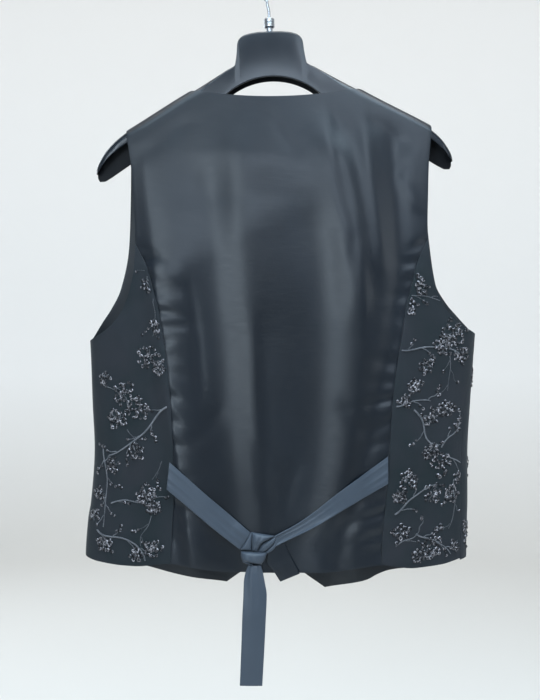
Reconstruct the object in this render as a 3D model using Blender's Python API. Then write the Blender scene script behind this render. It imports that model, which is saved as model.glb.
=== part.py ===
"""A waistcoat hanging on a plastic suit hanger, seen from its back at -Y.

Tables are in millimetres and read by name. The garment is drawn upright and even about its
own middle, and settle() then leans it as it hangs. The origin is where the rod carries the hook.
"""

import math
from collections import namedtuple

import bmesh
import bpy
import numpy as np
from mathutils import Matrix, Vector

MM = 0.001
CLOTH = 1.5  # cloth with its lining, turned edges included
SEAM_GAP = 0.3
BELT_CLOTH = 1.2

# --- The garment, mm, heights from the hook ------------------------------------------------

NECK_HALF, TIP_HALF = 106.0, 185.0
SHOULDER_APEX, SHOULDER_PITCH = -92.5, 0.56
NECK_ROUND = 60.0  # within this of the middle the two shoulder slopes blend
NECK_SCOOP = 12.3
HEM, CORNER, JOIN = -722.0, -452.5, -338.0
HEM_FADE = 150.0
SETTLE_DROP = 220.0  # how far below the shoulder line the cloth leaves the hanger's shape
SQUARENESS = 0.8

Ring = namedtuple("Ring", "height half_width back front shift lean")
RINGS = (
    Ring(-100.0, 246.0, 40.0, 32.0, 9.5, 0.0115),
    Ring(-151.7, 246.0, 40.0, 32.0, 10.05, 0.0123),
    Ring(-196.0, 245.0, 41.0, 33.0, 13.9, 0.0181),
    Ring(-300.0, 243.0, 43.0, 35.0, 16.6, 0.0184),
    Ring(-380.0, 239.5, 45.0, 36.0, 18.0, 0.0184),
    Ring(-452.5, 234.4, 46.0, 37.0, 18.8, 0.0182),
    Ring(-529.0, 230.1, 47.0, 37.0, 17.5, 0.0120),
    Ring(-590.0, 227.1, 47.0, 36.0, 16.9, 0.0060),
    Ring(-651.0, 229.2, 46.0, 36.0, 14.8, -0.0030),
    Ring(-675.5, 230.7, 45.5, 35.5, 12.6, -0.0070),
    Ring(-718.0, 231.9, 45.0, 35.0, 10.8, -0.0060),
    Ring(-770.0, 233.0, 44.0, 34.0, 10.8, -0.0060),
)

Edge = namedtuple("Edge", "height half_width")
BACK_ARMHOLE = (
    Edge(-196.0, 185.0),
    Edge(-246.0, 178.3),
    Edge(-288.0, 175.8),
    Edge(-324.0, 174.2),
    Edge(-348.0, 174.9),
    Edge(-372.0, 177.1),
    Edge(-396.0, 182.7),
    Edge(-414.0, 190.0),
    Edge(-426.0, 197.5),
    Edge(-438.0, 209.4),
    Edge(-447.6, 225.0),
    Edge(-452.5, 234.4),
)
FRONT_ARMHOLE = {
    "left": (
        Edge(-196.0, 185.0),
        Edge(-281.0, 187.2),
        Edge(-318.0, 188.6),
        Edge(-343.0, 190.4),
        Edge(-390.0, 200.5),
        Edge(-413.0, 211.5),
        Edge(-430.5, 222.5),
        Edge(-452.5, 234.4),
    ),
    "right": (
        Edge(-196.0, 185.0),
        Edge(-281.0, 182.8),
        Edge(-318.0, 183.6),
        Edge(-343.0, 185.4),
        Edge(-390.0, 191.5),
        Edge(-413.0, 203.0),
        Edge(-430.5, 216.5),
        Edge(-452.5, 234.4),
    ),
}
PRINCESS_SEAM = (
    Edge(-338.0, 174.4),
    Edge(-355.0, 166.0),
    Edge(-368.5, 160.0),
    Edge(-397.0, 152.6),
    Edge(-417.0, 146.6),
    Edge(-438.0, 143.2),
    Edge(-468.0, 138.3),
    Edge(-505.0, 133.3),
    Edge(-539.0, 130.2),
    Edge(-586.5, 128.0),
    Edge(-646.0, 125.6),
    Edge(-693.0, 124.4),
    Edge(-731.0, 125.5),
)
OVERLAP, OVERLAP_LIFT = 12.0, 2.2
LIFTED_WITHIN, LIFT_BLEND = 24.0, 26.0
NECK_BOTTOM = -440.0
NECK_EDGE = (
    Edge(-151.7, 106.0),
    Edge(-200.0, 84.0),
    Edge(-280.0, 49.0),
    Edge(-360.0, 17.5),
    Edge(-415.0, -5.0),
    Edge(NECK_BOTTOM, -OVERLAP),
    Edge(-520.0, -OVERLAP),
    Edge(-770.0, -OVERLAP),
)
SIDE_SEAM_TURN = {"left": 90.0, "right": 73.0}  # degrees round from the centre back
SIDE_SEAM_SETTLE = 90.0

Hem = namedtuple("Hem", "half_width height")
BACK_HEM = (
    Hem(0.0, -731.5),
    Hem(60.0, -730.0),
    Hem(100.0, -724.5),
    Hem(125.0, -721.5),
    Hem(165.0, -726.0),
    Hem(205.0, -722.5),
    Hem(220.0, -719.5),
    Hem(232.0, -717.0),
)
POINT_HALF = 61.3
FRONT_HEM = {
    "left": (
        Hem(-OVERLAP, -706.5),
        Hem(POINT_HALF, -758.9),
        Hem(112.0, -751.0),
        Hem(134.0, -745.9),
        Hem(174.0, -734.0),
        Hem(205.0, -724.0),
        Hem(220.0, -719.5),
        Hem(232.0, -717.0),
    ),
    "right": (
        Hem(-OVERLAP, -714.5),
        Hem(POINT_HALF, -765.2),
        Hem(112.6, -754.5),
        Hem(127.6, -746.8),
        Hem(141.3, -741.9),
        Hem(174.0, -736.5),
        Hem(205.0, -724.5),
        Hem(220.0, -719.5),
        Hem(232.0, -717.0),
    ),
}

# A fold runs through four places, evenly apart in height. Out is how far it stands proud, and left
# and right are how wide its slopes are.
Fold = namedtuple("Fold", "face out left right top bottom x_top x_upper x_lower x_bottom")
FOLDS = (
    Fold("back", 2.2, 26.0, 30.0, -175.0, -400.0, -56.0, -48.0, -43.0, -39.0),
    Fold("back", 2.0, 18.0, 9.0, -400.0, -715.0, -38.0, -33.0, -27.0, -19.0),
    Fold("back", -3.6, 38.0, 32.0, -270.0, -715.0, 28.0, 42.0, 41.0, 24.0),
    Fold("back", -4.6, 66.0, 75.0, -230.0, -735.0, -22.0, -18.0, -12.0, -2.0),
    Fold("back", 5.0, 27.0, 13.0, -175.0, -400.0, 54.0, 74.0, 87.0, 92.0),
    Fold("back", 3.6, 28.0, 12.0, -400.0, -715.0, 92.0, 87.0, 73.0, 50.0),
    Fold("back", 2.2, 60.0, 34.0, -200.0, -735.0, 92.0, 118.0, 112.0, 84.0),
    Fold("back", -2.2, 9.0, 12.0, -160.0, -330.0, 68.0, 70.0, 76.0, 87.0),
    Fold("back", 1.8, 10.0, 10.0, -170.0, -345.0, 100.0, 104.0, 109.0, 115.0),
    Fold("back", -2.8, 14.0, 14.0, -175.0, -715.0, 136.0, 139.0, 112.0, 72.0),
    Fold("back", -2.8, 30.0, 30.0, -185.0, -720.0, -88.0, -82.0, -70.0, -45.0),
    Fold("back", 4.6, 12.0, 31.0, -190.0, -715.0, -164.0, -157.0, -131.0, -97.0),
    Fold("back", -1.8, 14.0, 14.0, -470.0, -740.0, 186.0, 183.0, 178.0, 176.0),
    Fold("back", -1.8, 14.0, 14.0, -480.0, -740.0, -190.0, -186.0, -176.0, -172.0),
    Fold("front", -2.6, 16.0, 16.0, -250.0, -740.0, 140.0, 128.0, 112.0, 104.0),
    Fold("front", -2.4, 16.0, 16.0, -240.0, -740.0, -138.0, -132.0, -118.0, -100.0),
    Fold("front", 2.4, 18.0, 18.0, -230.0, -745.0, 98.0, 86.0, 74.0, 66.0),
    Fold("front", 2.2, 18.0, 18.0, -260.0, -745.0, -96.0, -88.0, -70.0, -62.0),
    Fold("front", 1.8, 15.0, 15.0, -420.0, -735.0, 176.0, 170.0, 160.0, 152.0),
    Fold("front", 1.8, 15.0, 15.0, -430.0, -735.0, -174.0, -172.0, -158.0, -150.0),
)
FOLD_FADE = 60.0

# --- The half belt, mm: where its upper and lower edges run ---------------------------------

Band = namedtuple("Band", "share upper_x upper_z lower_x lower_z")
TIE_LEFT = (
    Band(0.0, -131.0, -599.0, -133.5, -631.3),
    Band(0.5, -82.0, -642.0, -94.0, -663.5),
    Band(1.0, -31.6, -683.6, -43.0, -703.6),
)
TIE_RIGHT = (
    Band(0.0, 125.5, -594.0, 126.5, -625.5),
    Band(0.45, 68.0, -636.0, 78.0, -654.0),
    Band(0.8, 21.0, -673.5, 40.0, -678.0),
    Band(1.0, -3.2, -687.0, -1.8, -699.8),
)
TIE_STEPS, TIE_ACROSS, TIE_REACH = 12, 2, 14.0

Strip = namedtuple("Strip", "height left right stand_off")
TAIL_LONG = (
    Strip(-721.4, -33.0, -18.0, 3.5),
    Strip(-731.0, -36.4, -15.4, 4.5),
    Strip(-741.0, -38.0, -13.4, 6.0),
    Strip(-755.0, -38.4, -11.2, 8.0),
    Strip(-780.0, -39.6, -12.2, 9.5),
    Strip(-810.0, -40.6, -13.6, 9.0),
    Strip(-861.5, -42.6, -16.4, 7.5),
)
SHORT_TAIL = (("left", -8.6, -703.4, 4.9, -741.3), ("right", 10.4, -695.2, 27.6, -731.2))

Pillow = namedtuple("Pillow", "name thick top_left top_right bottom_right bottom_left")
KNOT = (
    Pillow("knot_loop", 7.0, (-30.6, -683.4), (-4.0, -687.4), (-6.2, -699.4), (-30.2, -703.2)),
    Pillow("knot_wrap", 9.0, (-41.5, -704.4), (-10.6, -704.0), (-16.0, -720.8), (-40.0, -717.0)),
)

PAD_STEPS, PAD_EDGE = 5, 0.45  # the share of its thickness that a pad keeps at its edge

# --- The buttons and the hanger, mm ---------------------------------------------------------

BUTTON_TOP, BUTTON_STEP, BUTTON_COUNT = -445.0, 60.0, 5
BUTTON_RADIUS, BUTTON_THICK, BUTTON_DISH, BUTTON_SHANK = 7.5, 3.0, 0.6, 0.5

HANGER_ROLL = math.radians(2.1)
HANGER_HALF = 217.0
HANGER_CLEARANCE = 3.1  # under the garment's outer line: its cloth and a small gap
ARM_FORWARD = 10.0
ARCH_TOP, ARCH_RADIUS = -137.5, 86.0
HEAD_HALF = 40.8

Station = namedtuple("Station", "x top height half_depth crown web lip")
# Between these the hanger is lofted. A top of None follows the shoulder line, a height of None
# the arch. Crown is how far the top rounds down, lip how much of the height its sides cover.
HANGER = (
    Station(0.0, -80.6, None, 12.0, 4.0, 5.0, 1.0),
    Station(12.0, -80.8, None, 12.0, 4.0, 5.0, 1.0),
    Station(22.0, -81.8, None, 12.0, 4.0, 5.0, 1.0),
    Station(31.0, -84.0, None, 12.0, 4.0, 5.0, 1.0),
    Station(36.5, -87.6, None, 12.0, 4.0, 5.0, 1.0),
    Station(39.8, -93.5, None, 12.0, 4.0, 5.0, 1.0),
    Station(HEAD_HALF, -104.0, None, 12.0, 4.0, 5.0, 1.0),
    Station(44.0, None, None, 12.0, 4.0, 5.0, 1.0),
    Station(52.0, None, None, 12.0, 4.0, 5.0, 1.0),
    Station(62.0, None, None, 12.0, 5.0, 5.0, 1.0),
    Station(72.0, None, 34.5, 12.2, 7.0, 5.0, 1.0),
    Station(88.0, None, 35.0, 12.6, 10.5, 5.0, 1.0),
    Station(110.0, None, 36.0, 13.4, 10.5, 5.0, 1.0),
    Station(135.0, None, 37.0, 15.2, 10.5, 4.0, 0.62),
    Station(160.0, None, 38.5, 17.6, 10.5, 3.0, 0.46),
    Station(180.0, None, 40.0, 19.6, 10.5, 2.4, 0.42),
    Station(193.0, -206.0, 38.5, 20.6, 10.5, 2.2, 0.42),
    Station(203.0, -215.5, 35.0, 20.6, 10.0, 2.2, 0.44),
    Station(210.0, -225.0, 28.5, 19.0, 8.5, 2.2, 0.48),
    Station(215.0, -234.5, 19.0, 16.0, 6.0, 2.2, 0.54),
    Station(HANGER_HALF, -241.0, 9.0, 12.5, 3.0, 2.2, 0.6),
)
OVER_ARM_DROP, ARM_ROOM = 15.0, 1.9
SWELL, SWELL_DROP, SWELL_GONE = 7.0, 24.0, 240.0
FLANGE_WALL, FLANGE_THICK, LEAST_POCKET = 2.5, 3.0, 0.5

HOOK_WIRE, HOOK_BEND = 1.75, 19.0  # radii: the wire, and the inside of its bend
HOOK_END, HOOK_LEFT = -25.0, 222.0  # degrees round the bend, from +X
HOOK_BEND_STEP = 9.5
FERRULE_TOP = -64.0
STEM = ((0.0, FERRULE_TOP + SEAM_GAP), (0.0, -55.0), (-1.6, -46.5), (-3.2, -40.5))
FERRULE = ((5.6, -64.0), (6.4, -64.8), (6.4, -68.6), (5.9, -69.0), (5.9, -69.6), (6.4, -70.0),
           (6.4, -74.4), (5.6, -75.2), (4.0, -75.8), (4.0, -80.2))
FERRULE_SIDES = 24

FINISHES = {  # colour, roughness, metallic
    "satin": ((0.035, 0.043, 0.055), 0.42, 0.0),
    "crepe": ((0.022, 0.028, 0.032), 0.80, 0.0),
    "button": ((0.02, 0.02, 0.024), 0.30, 0.0),
    "plastic": ((0.05, 0.055, 0.065), 0.38, 0.0),
    "steel": ((0.30, 0.31, 0.33), 0.25, 1.0),
}


# --- Reading the tables -----------------------------------------------------------------------


def smooth(points):
    """A smooth, never overshooting function through (place, value) points, straight at its ends."""
    places, values = np.array(sorted(points), float).T
    steps = np.diff(values) / np.diff(places)
    slopes = np.concatenate([steps[:1], np.zeros(len(steps) - 1), steps[-1:]])
    for i in range(1, len(steps)):
        before, after = steps[i - 1], steps[i]
        if before * after > 0:
            slopes[i] = 2 * before * after / (before + after)

    def read(place):
        place = min(max(place, places[0]), places[-1])
        i = min(max(int(np.searchsorted(places, place)) - 1, 0), len(steps) - 1)
        width = places[i + 1] - places[i]
        t = (place - places[i]) / width
        rise = values[i + 1] - values[i]
        bow = (slopes[i] * width - rise) * (1 - t) - (slopes[i + 1] * width - rise) * t
        return float(values[i] + t * rise + t * (1 - t) * bow)

    return read


def ease(share):
    share = min(max(share, 0.0), 1.0)
    return share * share * (3 - 2 * share)


RING = {name: smooth([(ring.height, getattr(ring, name)) for ring in RINGS]) for name in Ring._fields[1:]}
BACK_EDGE, SEAM, V_NECK = smooth(BACK_ARMHOLE), smooth(PRINCESS_SEAM), smooth(NECK_EDGE)
FRONT_EDGE = {side: smooth(rows) for side, rows in FRONT_ARMHOLE.items()}
BACK_HEM_AT = smooth(BACK_HEM)
FRONT_HEM_AT = {side: smooth(rows[1:]) for side, rows in FRONT_HEM.items()}
STATION = {
    name: smooth([(row.x, getattr(row, name)) for row in HANGER if getattr(row, name) is not None])
    for name in Station._fields[1:]
}
FOLD_PATHS = [
    (fold, smooth(zip(np.linspace(fold.top, fold.bottom, 4), fold[6:]))) for fold in FOLDS
]


# --- The garment's surface --------------------------------------------------------------------


def turned_depth(turn):
    """How deep the flattened ring is at a turn from the centre back: 1 there, -1 at the front."""
    across = math.cos(turn)
    return math.copysign(abs(across) ** SQUARENESS, across)


def ring_shares():
    """Turns round a ring, the share of its back-to-front length that each covers, and that length."""
    turns = np.linspace(0.0, math.pi * 1.1, 800)
    middle = RINGS[7]
    points = np.array([(middle.half_width * math.sin(t), middle.back * turned_depth(t)) for t in turns])
    covered = np.concatenate([[0.0], np.cumsum(np.linalg.norm(np.diff(points, axis=0), axis=1))])
    half_girth = float(np.interp(math.pi, turns, covered))
    return turns, covered / half_girth, half_girth


TURNS, SHARES, HALF_GIRTH = ring_shares()


def share_at(turn):
    return float(np.interp(turn, TURNS, SHARES))


def turn_at(share):
    return float(np.interp(abs(share), SHARES, TURNS))


def back_share(half_width, height):
    return share_at(math.asin(min(half_width / RING["half_width"](height), 1.0)))


def front_share(half_width, height):
    """The share on the front. A half width below 0 lies past the middle."""
    return share_at(math.pi - math.asin(min(half_width / RING["half_width"](height), 1.0)))


def shoulder_line(x):
    """The height of the shoulder line, blended to one curve near the middle."""
    out = abs(x)
    if out < NECK_ROUND:
        out = out * out / (2 * NECK_ROUND) + NECK_ROUND / 2
    return SHOULDER_APEX - SHOULDER_PITCH * out


def arm_forward(x):
    return ARM_FORWARD * (x / HANGER_HALF) ** 2


def over_arm(x):
    """Half the depth of the cloth where it lies round the hanger's arm."""
    return STATION["half_depth"](abs(x)) + CLOTH + ARM_ROOM


def fold_out(face, x, height):
    """How far the folds push the cloth out here."""
    total = 0.0
    for fold, path in FOLD_PATHS:
        if fold.face == face and fold.bottom - FOLD_FADE < height < fold.top:
            fade = ease((fold.top - height) / FOLD_FADE) * ease((height - fold.bottom) / FOLD_FADE + 1)
            across = x - path(height)
            total += fold.out * fade * math.exp(-((across / (fold.left if across < 0 else fold.right)) ** 2))
    return total


def surface(share, height):
    """A point of the upright garment. Shares below 0 lie on the wearer's left."""
    turn = turn_at(share)
    x = math.copysign(RING["half_width"](height) * math.sin(turn), share)
    if turn > math.pi:
        x = math.copysign(RING["half_width"](height) * math.sin(turn - math.pi), -share)
    face, sign = ("back", -1.0) if turn < math.pi / 2 else ("front", 1.0)
    below = max(shoulder_line(x) - height, 0.0)
    arm = over_arm(x)
    rounded = arm * math.sqrt(1 - (1 - min(below / OVER_ARM_DROP, 1.0)) ** 2)
    free = RING[face](height) * abs(turned_depth(turn))
    hang = ease(below / SETTLE_DROP)
    depth = rounded + (free - rounded) * hang
    depth += SWELL * (1 - math.exp(-below / SWELL_DROP)) * (1 - ease(below / SWELL_GONE))
    depth += fold_out(face, x, height) * ease(below / FOLD_FADE) * min(abs(math.cos(turn)) * 2, 1.0)
    return Vector((x, sign * depth + arm_forward(x) * (1 - hang), height))


def facing(share, height, step=0.4):
    """The outward direction, from steps along the shoulder's slope and down the cloth."""
    turn = turn_at(share)
    reach = step / RING["half_width"](height)
    sign = math.copysign(1.0, share)
    places = []
    for side in (-1, 1):
        near = share_at(max(turn + side * reach, 0.0)) * sign
        drop = shoulder_line(surface(share, height).x) - shoulder_line(surface(near, height).x)
        places.append(surface(near, height - drop))
    along = (places[1] - places[0]) * sign
    down = surface(share, height) - surface(share, height - step)
    return along.cross(down).normalized()


def settle(point):
    """Leans the upright garment as it hangs, and changes to metres."""
    x = point.x + RING["shift"](point.z)
    z = point.z + RING["lean"](point.z) * point.x
    return Vector((x, point.y, z)) * MM


def cloth(share, height, out=0.0):
    """A point of the hanging garment, moved out from its surface."""
    point = surface(share, height)
    below = shoulder_line(point.x) - height
    point += facing(share, height) * out
    if below < 2 * CLOTH:
        seam = arm_forward(point.x)
        is_back = turn_at(share) < math.pi / 2
        point.y = min(point.y, seam - SEAM_GAP / 2) if is_back else max(point.y, seam + SEAM_GAP / 2)
    return settle(point)


# --- Building solids ----------------------------------------------------------------------------


def finish_material(finish):
    material = bpy.data.materials.get(finish)
    if material is None:
        material = bpy.data.materials.new(finish)
        material.use_nodes = True
        shader = material.node_tree.nodes["Principled BSDF"]
        colour, roughness, metallic = FINISHES[finish]
        shader.inputs["Base Color"].default_value = (*colour, 1.0)
        shader.inputs["Roughness"].default_value = roughness
        shader.inputs["Metallic"].default_value = metallic
    return material


def add_object(name, mesh_data, finish):
    """Turns a bmesh into an object, smooth except at its hard edges."""
    bmesh.ops.recalc_face_normals(mesh_data, faces=mesh_data.faces)
    mesh = bpy.data.meshes.new(name)
    mesh_data.to_mesh(mesh)
    mesh_data.free()
    mesh.shade_smooth()
    mesh.set_sharp_from_angle(angle=math.radians(40))
    mesh.materials.append(finish_material(finish))
    item = bpy.data.objects.new(name, mesh)
    bpy.context.collection.objects.link(item)
    return item


def wall(name, outer, inner, finish):
    """A closed wall between two grids of points that match one to one."""
    made = bmesh.new()
    layers = [[[made.verts.new(p) for p in row] for row in grid] for grid in (outer, inner)]
    rows, columns = len(outer), len(outer[0])
    for grid in layers:
        for i in range(rows - 1):
            for j in range(columns - 1):
                made.faces.new((grid[i][j], grid[i][j + 1], grid[i + 1][j + 1], grid[i + 1][j]))
    rim = [(0, j) for j in range(columns)] + [(i, columns - 1) for i in range(1, rows)]
    rim += [(rows - 1, j) for j in range(columns - 2, -1, -1)] + [(i, 0) for i in range(rows - 2, 0, -1)]
    front, back = layers
    for (i, j), (k, m) in zip(rim, rim[1:] + rim[:1]):
        made.faces.new((front[i][j], front[k][m], back[k][m], back[i][j]))
    return add_object(name, made, finish)


def cloth_panel(name, places, finish, lift=lambda share, height: 0.0):
    """A panel from rows of (share, height) places, one cloth thick."""
    outer = [[cloth(s, h, lift(s, h)) for s, h in row] for row in places]
    inner = [[cloth(s, h, lift(s, h) - CLOTH) for s, h in row] for row in places]
    return wall(name, outer, inner, finish)


# --- The panels ---------------------------------------------------------------------------------

LOW_LEVELS = [HEM + (CORNER - HEM) * i / 10 for i in range(11)]
SIDE_LEVELS = [CORNER + (JOIN - CORNER) * (i / 7) ** 1.6 for i in range(1, 8)]
NEAR_JOIN = 0.97  # the side back ends just below the join, where it has come to a tip
BACK_RISE = [1 - (1 - i / 12) ** 2.2 for i in range(1, 13)]
FRONT_RISE = [1 - (1 - i / 16) ** 2.4 for i in range(1, 17)]
HALF_GAP_SHARE = SEAM_GAP / 2 / HALF_GIRTH


def hemmed(level, hem_height):
    """Moves a level near the hem to follow the hem's own curve."""
    return level + (hem_height - HEM) * (1 - ease((level - HEM) / HEM_FADE))


def seam_share(height):
    return back_share(SEAM(height), height)


def side_share(side, height):
    """Where the side seam runs: at the armhole's corner, then a little round to the back."""
    turned = (90.0 - SIDE_SEAM_TURN[side]) * ease((CORNER - height) / SIDE_SEAM_SETTLE)
    return share_at(math.radians(90.0 - turned))


def top_of_back(x):
    """The height of the back's top edge: its neckline, then the shoulder line."""
    if abs(x) < NECK_HALF:
        corner = shoulder_line(NECK_HALF)
        return corner - NECK_SCOOP * (1 - (x / NECK_HALF) ** 2)
    return shoulder_line(x)


def back_columns():
    """Even columns, with one on each neck corner and two close by, where the neckline leaves the arm."""
    corner = NECK_HALF / TIP_HALF
    outer = [-1 + (1 - corner) * i / 6 for i in range(6)] + [-corner, -corner * 0.97, -corner * 0.91]
    middle = [corner * 0.82 * (i / 7 - 1) for i in range(15)]
    return outer + middle + [-v for v in reversed(outer)]


def back_places():
    rows = []
    for level in LOW_LEVELS + SIDE_LEVELS:
        row = []
        for v in back_columns():
            height = hemmed(level, BACK_HEM_AT(abs(v) * SEAM(level)))
            share = min(back_share(abs(v) * SEAM(height), height), seam_share(height) - HALF_GAP_SHARE)
            row.append((math.copysign(share, v), height))
        rows.append(row)
    for rise in BACK_RISE:
        row = []
        for v in back_columns():
            height = JOIN + (top_of_back(v * TIP_HALF) - JOIN) * rise
            share = back_share(abs(v) * BACK_EDGE(height), height)
            row.append((math.copysign(share, v), height))
        rows.append(row)
    return rows


def side_back_places(side, sign):
    rows = []
    levels = LOW_LEVELS + SIDE_LEVELS[:-1]
    levels.append(SIDE_LEVELS[-2] + (SIDE_LEVELS[-1] - SIDE_LEVELS[-2]) * NEAR_JOIN)
    for level in levels:
        row = []
        for j in range(8):
            v = j / 7
            x = SEAM(level) * (1 - v) + RING["half_width"](level) * v
            height = hemmed(level, BACK_HEM_AT(x))
            first = seam_share(height) + HALF_GAP_SHARE
            last = side_share(side, height) - HALF_GAP_SHARE
            if height > CORNER:
                last = back_share(BACK_EDGE(height), height)
            row.append((sign * (first + (last - first) * v), height))
        rows.append(row)
    return rows


def front_hem(side, x):
    """The front's hem: a straight cutaway up to the point, then its curve to the side."""
    first, point = FRONT_HEM[side][:2]
    if x < POINT_HALF:
        along = (x - first.half_width) / (point.half_width - first.half_width)
        return first.height + (point.height - first.height) * along
    return FRONT_HEM_AT[side](x)


def front_places(side, sign):
    """Columns run from the side seam to the front edge, one of them through the hem's point."""
    rows = []
    for level in LOW_LEVELS:
        seam, edge = side_share(side, level) + HALF_GAP_SHARE, front_share(-OVERLAP, level)
        point = front_share(POINT_HALF, level)
        shares = [seam + (point - seam) * j / 10 for j in range(10)]
        shares += [point + (edge - point) * j / 4 for j in range(5)]
        row = []
        for share in shares:
            x = RING["half_width"](level) * math.sin(turn_at(share))
            row.append((sign * share, hemmed(level, front_hem(side, x))))
        rows.append(row)
    shares = [abs(s) for s, _ in rows[-1]]
    spread = [(s - shares[0]) / (shares[-1] - shares[0]) for s in shares]
    for rise in FRONT_RISE:
        outer_z = CORNER + (shoulder_line(TIP_HALF) - CORNER) * rise
        inner_z = CORNER + (shoulder_line(NECK_HALF) - CORNER) * rise
        outer_x, inner_x = FRONT_EDGE[side](outer_z), V_NECK(inner_z)
        first, last = front_share(outer_x, outer_z), front_share(inner_x, inner_z)
        row = []
        for v in spread:
            height = outer_z + (inner_z - outer_z) * v
            by_girth = first + (last - first) * v
            by_width = front_share(outer_x + (inner_x - outer_x) * v, height)
            row.append((sign * (by_girth + (by_width - by_girth) * ease(rise * 3)), height))
        rows.append(row)
    return rows


def overlap_lift(share, height):
    """Lifts the right front clear of the left where they button over each other."""
    x = surface(share, height).x
    return OVERLAP_LIFT * ease(1 - (x - LIFTED_WITHIN) / LIFT_BLEND)


def make_panels():
    cloth_panel("back", back_places(), "satin")
    for side, sign in (("left", -1), ("right", 1)):
        cloth_panel(f"side_back_{side}", side_back_places(side, sign), "crepe")
        lift = overlap_lift if side == "right" else (lambda share, height: 0.0)
        cloth_panel(f"front_{side}", front_places(side, sign), "crepe", lift)


# --- The half belt --------------------------------------------------------------------------------


def resting_depth(x, height):
    """The depth at which a taut band clears the back's ridges near this place."""
    reach = np.linspace(-TIE_REACH, TIE_REACH, 5)
    depths = []
    for dx in reach:
        for dz in reach:
            near = abs(x + dx)
            share = back_share(near, height + dz) * math.copysign(1, x + dx)
            depths.append(surface(share, height + dz).y)
    return min(depths)


def band_wall(name, edges, thickness, finish):
    """A flat band from rows of two edge points, the far face one thickness behind."""
    outer, inner = [], []
    for first, last in edges:
        row = [first.lerp(last, j / TIE_ACROSS) for j in range(TIE_ACROSS + 1)]
        outer.append([settle(p) for p in row])
        inner.append([settle(p + Vector((0, thickness, 0))) for p in row])
    return wall(name, outer, inner, finish)


def make_tie(name, table):
    reads = {key: smooth([(row.share, getattr(row, key)) for row in table]) for key in Band._fields[1:]}
    edges = []
    for i in range(TIE_STEPS + 1):
        share = i / TIE_STEPS
        pair = []
        for edge in ("upper", "lower"):
            x, z = reads[edge + "_x"](share), reads[edge + "_z"](share)
            y = resting_depth(x, z) - SEAM_GAP - BELT_CLOTH
            pair.append(Vector((x, y, z)))
        edges.append(pair)
    return band_wall(name, edges, BELT_CLOTH, "satin")


def make_tails():
    base = resting_depth(-25.0, -712.0)
    edges = []
    for i in range(13):
        height = TAIL_LONG[0].height + (TAIL_LONG[-1].height - TAIL_LONG[0].height) * i / 12
        left, right, out = (
            smooth([(row.height, getattr(row, key)) for row in TAIL_LONG])(height)
            for key in ("left", "right", "stand_off")
        )
        y = base - out - BELT_CLOTH
        edges.append((Vector((left, y, height)), Vector((right, y, height))))
    band_wall("tail_long", edges, BELT_CLOTH, "satin")
    edges = []
    for i in range(6):
        pair = []
        for _, top_x, top_z, low_x, low_z in SHORT_TAIL:
            x, z = top_x + (low_x - top_x) * i / 5, top_z + (low_z - top_z) * i / 5
            y = resting_depth(x, max(z, HEM)) - SEAM_GAP - BELT_CLOTH
            pair.append(Vector((x, y, z)))
        edges.append(pair)
    band_wall("tail_short", edges, BELT_CLOTH, "satin")


def make_knot():
    """The knot's two folds, each a soft pad with a flat side to the cloth."""
    steps = PAD_STEPS
    for pad in KNOT:
        outer, inner = [], []
        corners = (pad.top_left, pad.top_right, pad.bottom_right, pad.bottom_left)
        top_left, top_right, bottom_right, bottom_left = (Vector((x, 0, z)) for x, z in corners)
        base = min(resting_depth(x, z) for x, z in corners) - SEAM_GAP
        for i in range(steps + 1):
            v = i / steps
            row_out, row_in = [], []
            for j in range(steps + 1):
                u = j / steps
                place = top_left.lerp(top_right, u).lerp(bottom_left.lerp(bottom_right, u), v)
                crown = (math.sin(math.pi * u) * math.sin(math.pi * v)) ** 0.5
                thick = pad.thick * (PAD_EDGE + (1 - PAD_EDGE) * crown)
                row_out.append(settle(place + Vector((0, base - thick, 0))))
                row_in.append(settle(place + Vector((0, base, 0))))
            outer.append(row_out)
            inner.append(row_in)
        wall(pad.name, outer, inner, "satin")


# --- Buttons, hanger and hook ------------------------------------------------------------------


def turned(name, profile, sides, finish, place):
    """A closed solid of (radius, height) rings, turned about Z and capped flat."""
    made = bmesh.new()
    rings = []
    for radius, height in profile:
        angles = [2 * math.pi * i / sides for i in range(sides)]
        points = [Vector((radius * math.cos(a), radius * math.sin(a), height)) for a in angles]
        rings.append([made.verts.new(place @ p) for p in points])
    for ring, following in zip(rings, rings[1:]):
        for i in range(sides):
            made.faces.new((ring[i - 1], ring[i], following[i], following[i - 1]))
    made.faces.new(rings[0])
    made.faces.new(rings[-1])
    return add_object(name, made, finish)


def make_buttons():
    radius, thick, dish = BUTTON_RADIUS, BUTTON_THICK, BUTTON_DISH
    profile = [(radius - 1, 0), (radius, 0.8), (radius, thick - 0.6), (radius - 0.8, thick),
               (radius - 2, thick), (radius - 2.6, thick - dish)]
    for i in range(BUTTON_COUNT):
        height = BUTTON_TOP - BUTTON_STEP * i
        seat = cloth(1.0, height, OVERLAP_LIFT + BUTTON_SHANK)
        facing_front = Matrix.Rotation(-math.pi / 2, 4, "X")
        place = Matrix.Translation(seat) @ facing_front @ Matrix.Scale(MM, 4)
        turned(f"button_{i + 1}", profile, 20, "button", place)


def hanger_heights(x):
    """The top and the bottom of the hanger's outline at a distance from its middle."""
    line = SHOULDER_APEX - SHOULDER_PITCH * x - HANGER_CLEARANCE
    row = next((row for row in HANGER if row.x == x), None)
    top = row.top if row.top is not None else line
    arch = ARCH_TOP - ARCH_RADIUS + math.sqrt(max(ARCH_RADIUS**2 - x**2, 0.0))
    bottom = arch if row.height is None else top - row.height
    return top, bottom


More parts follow.
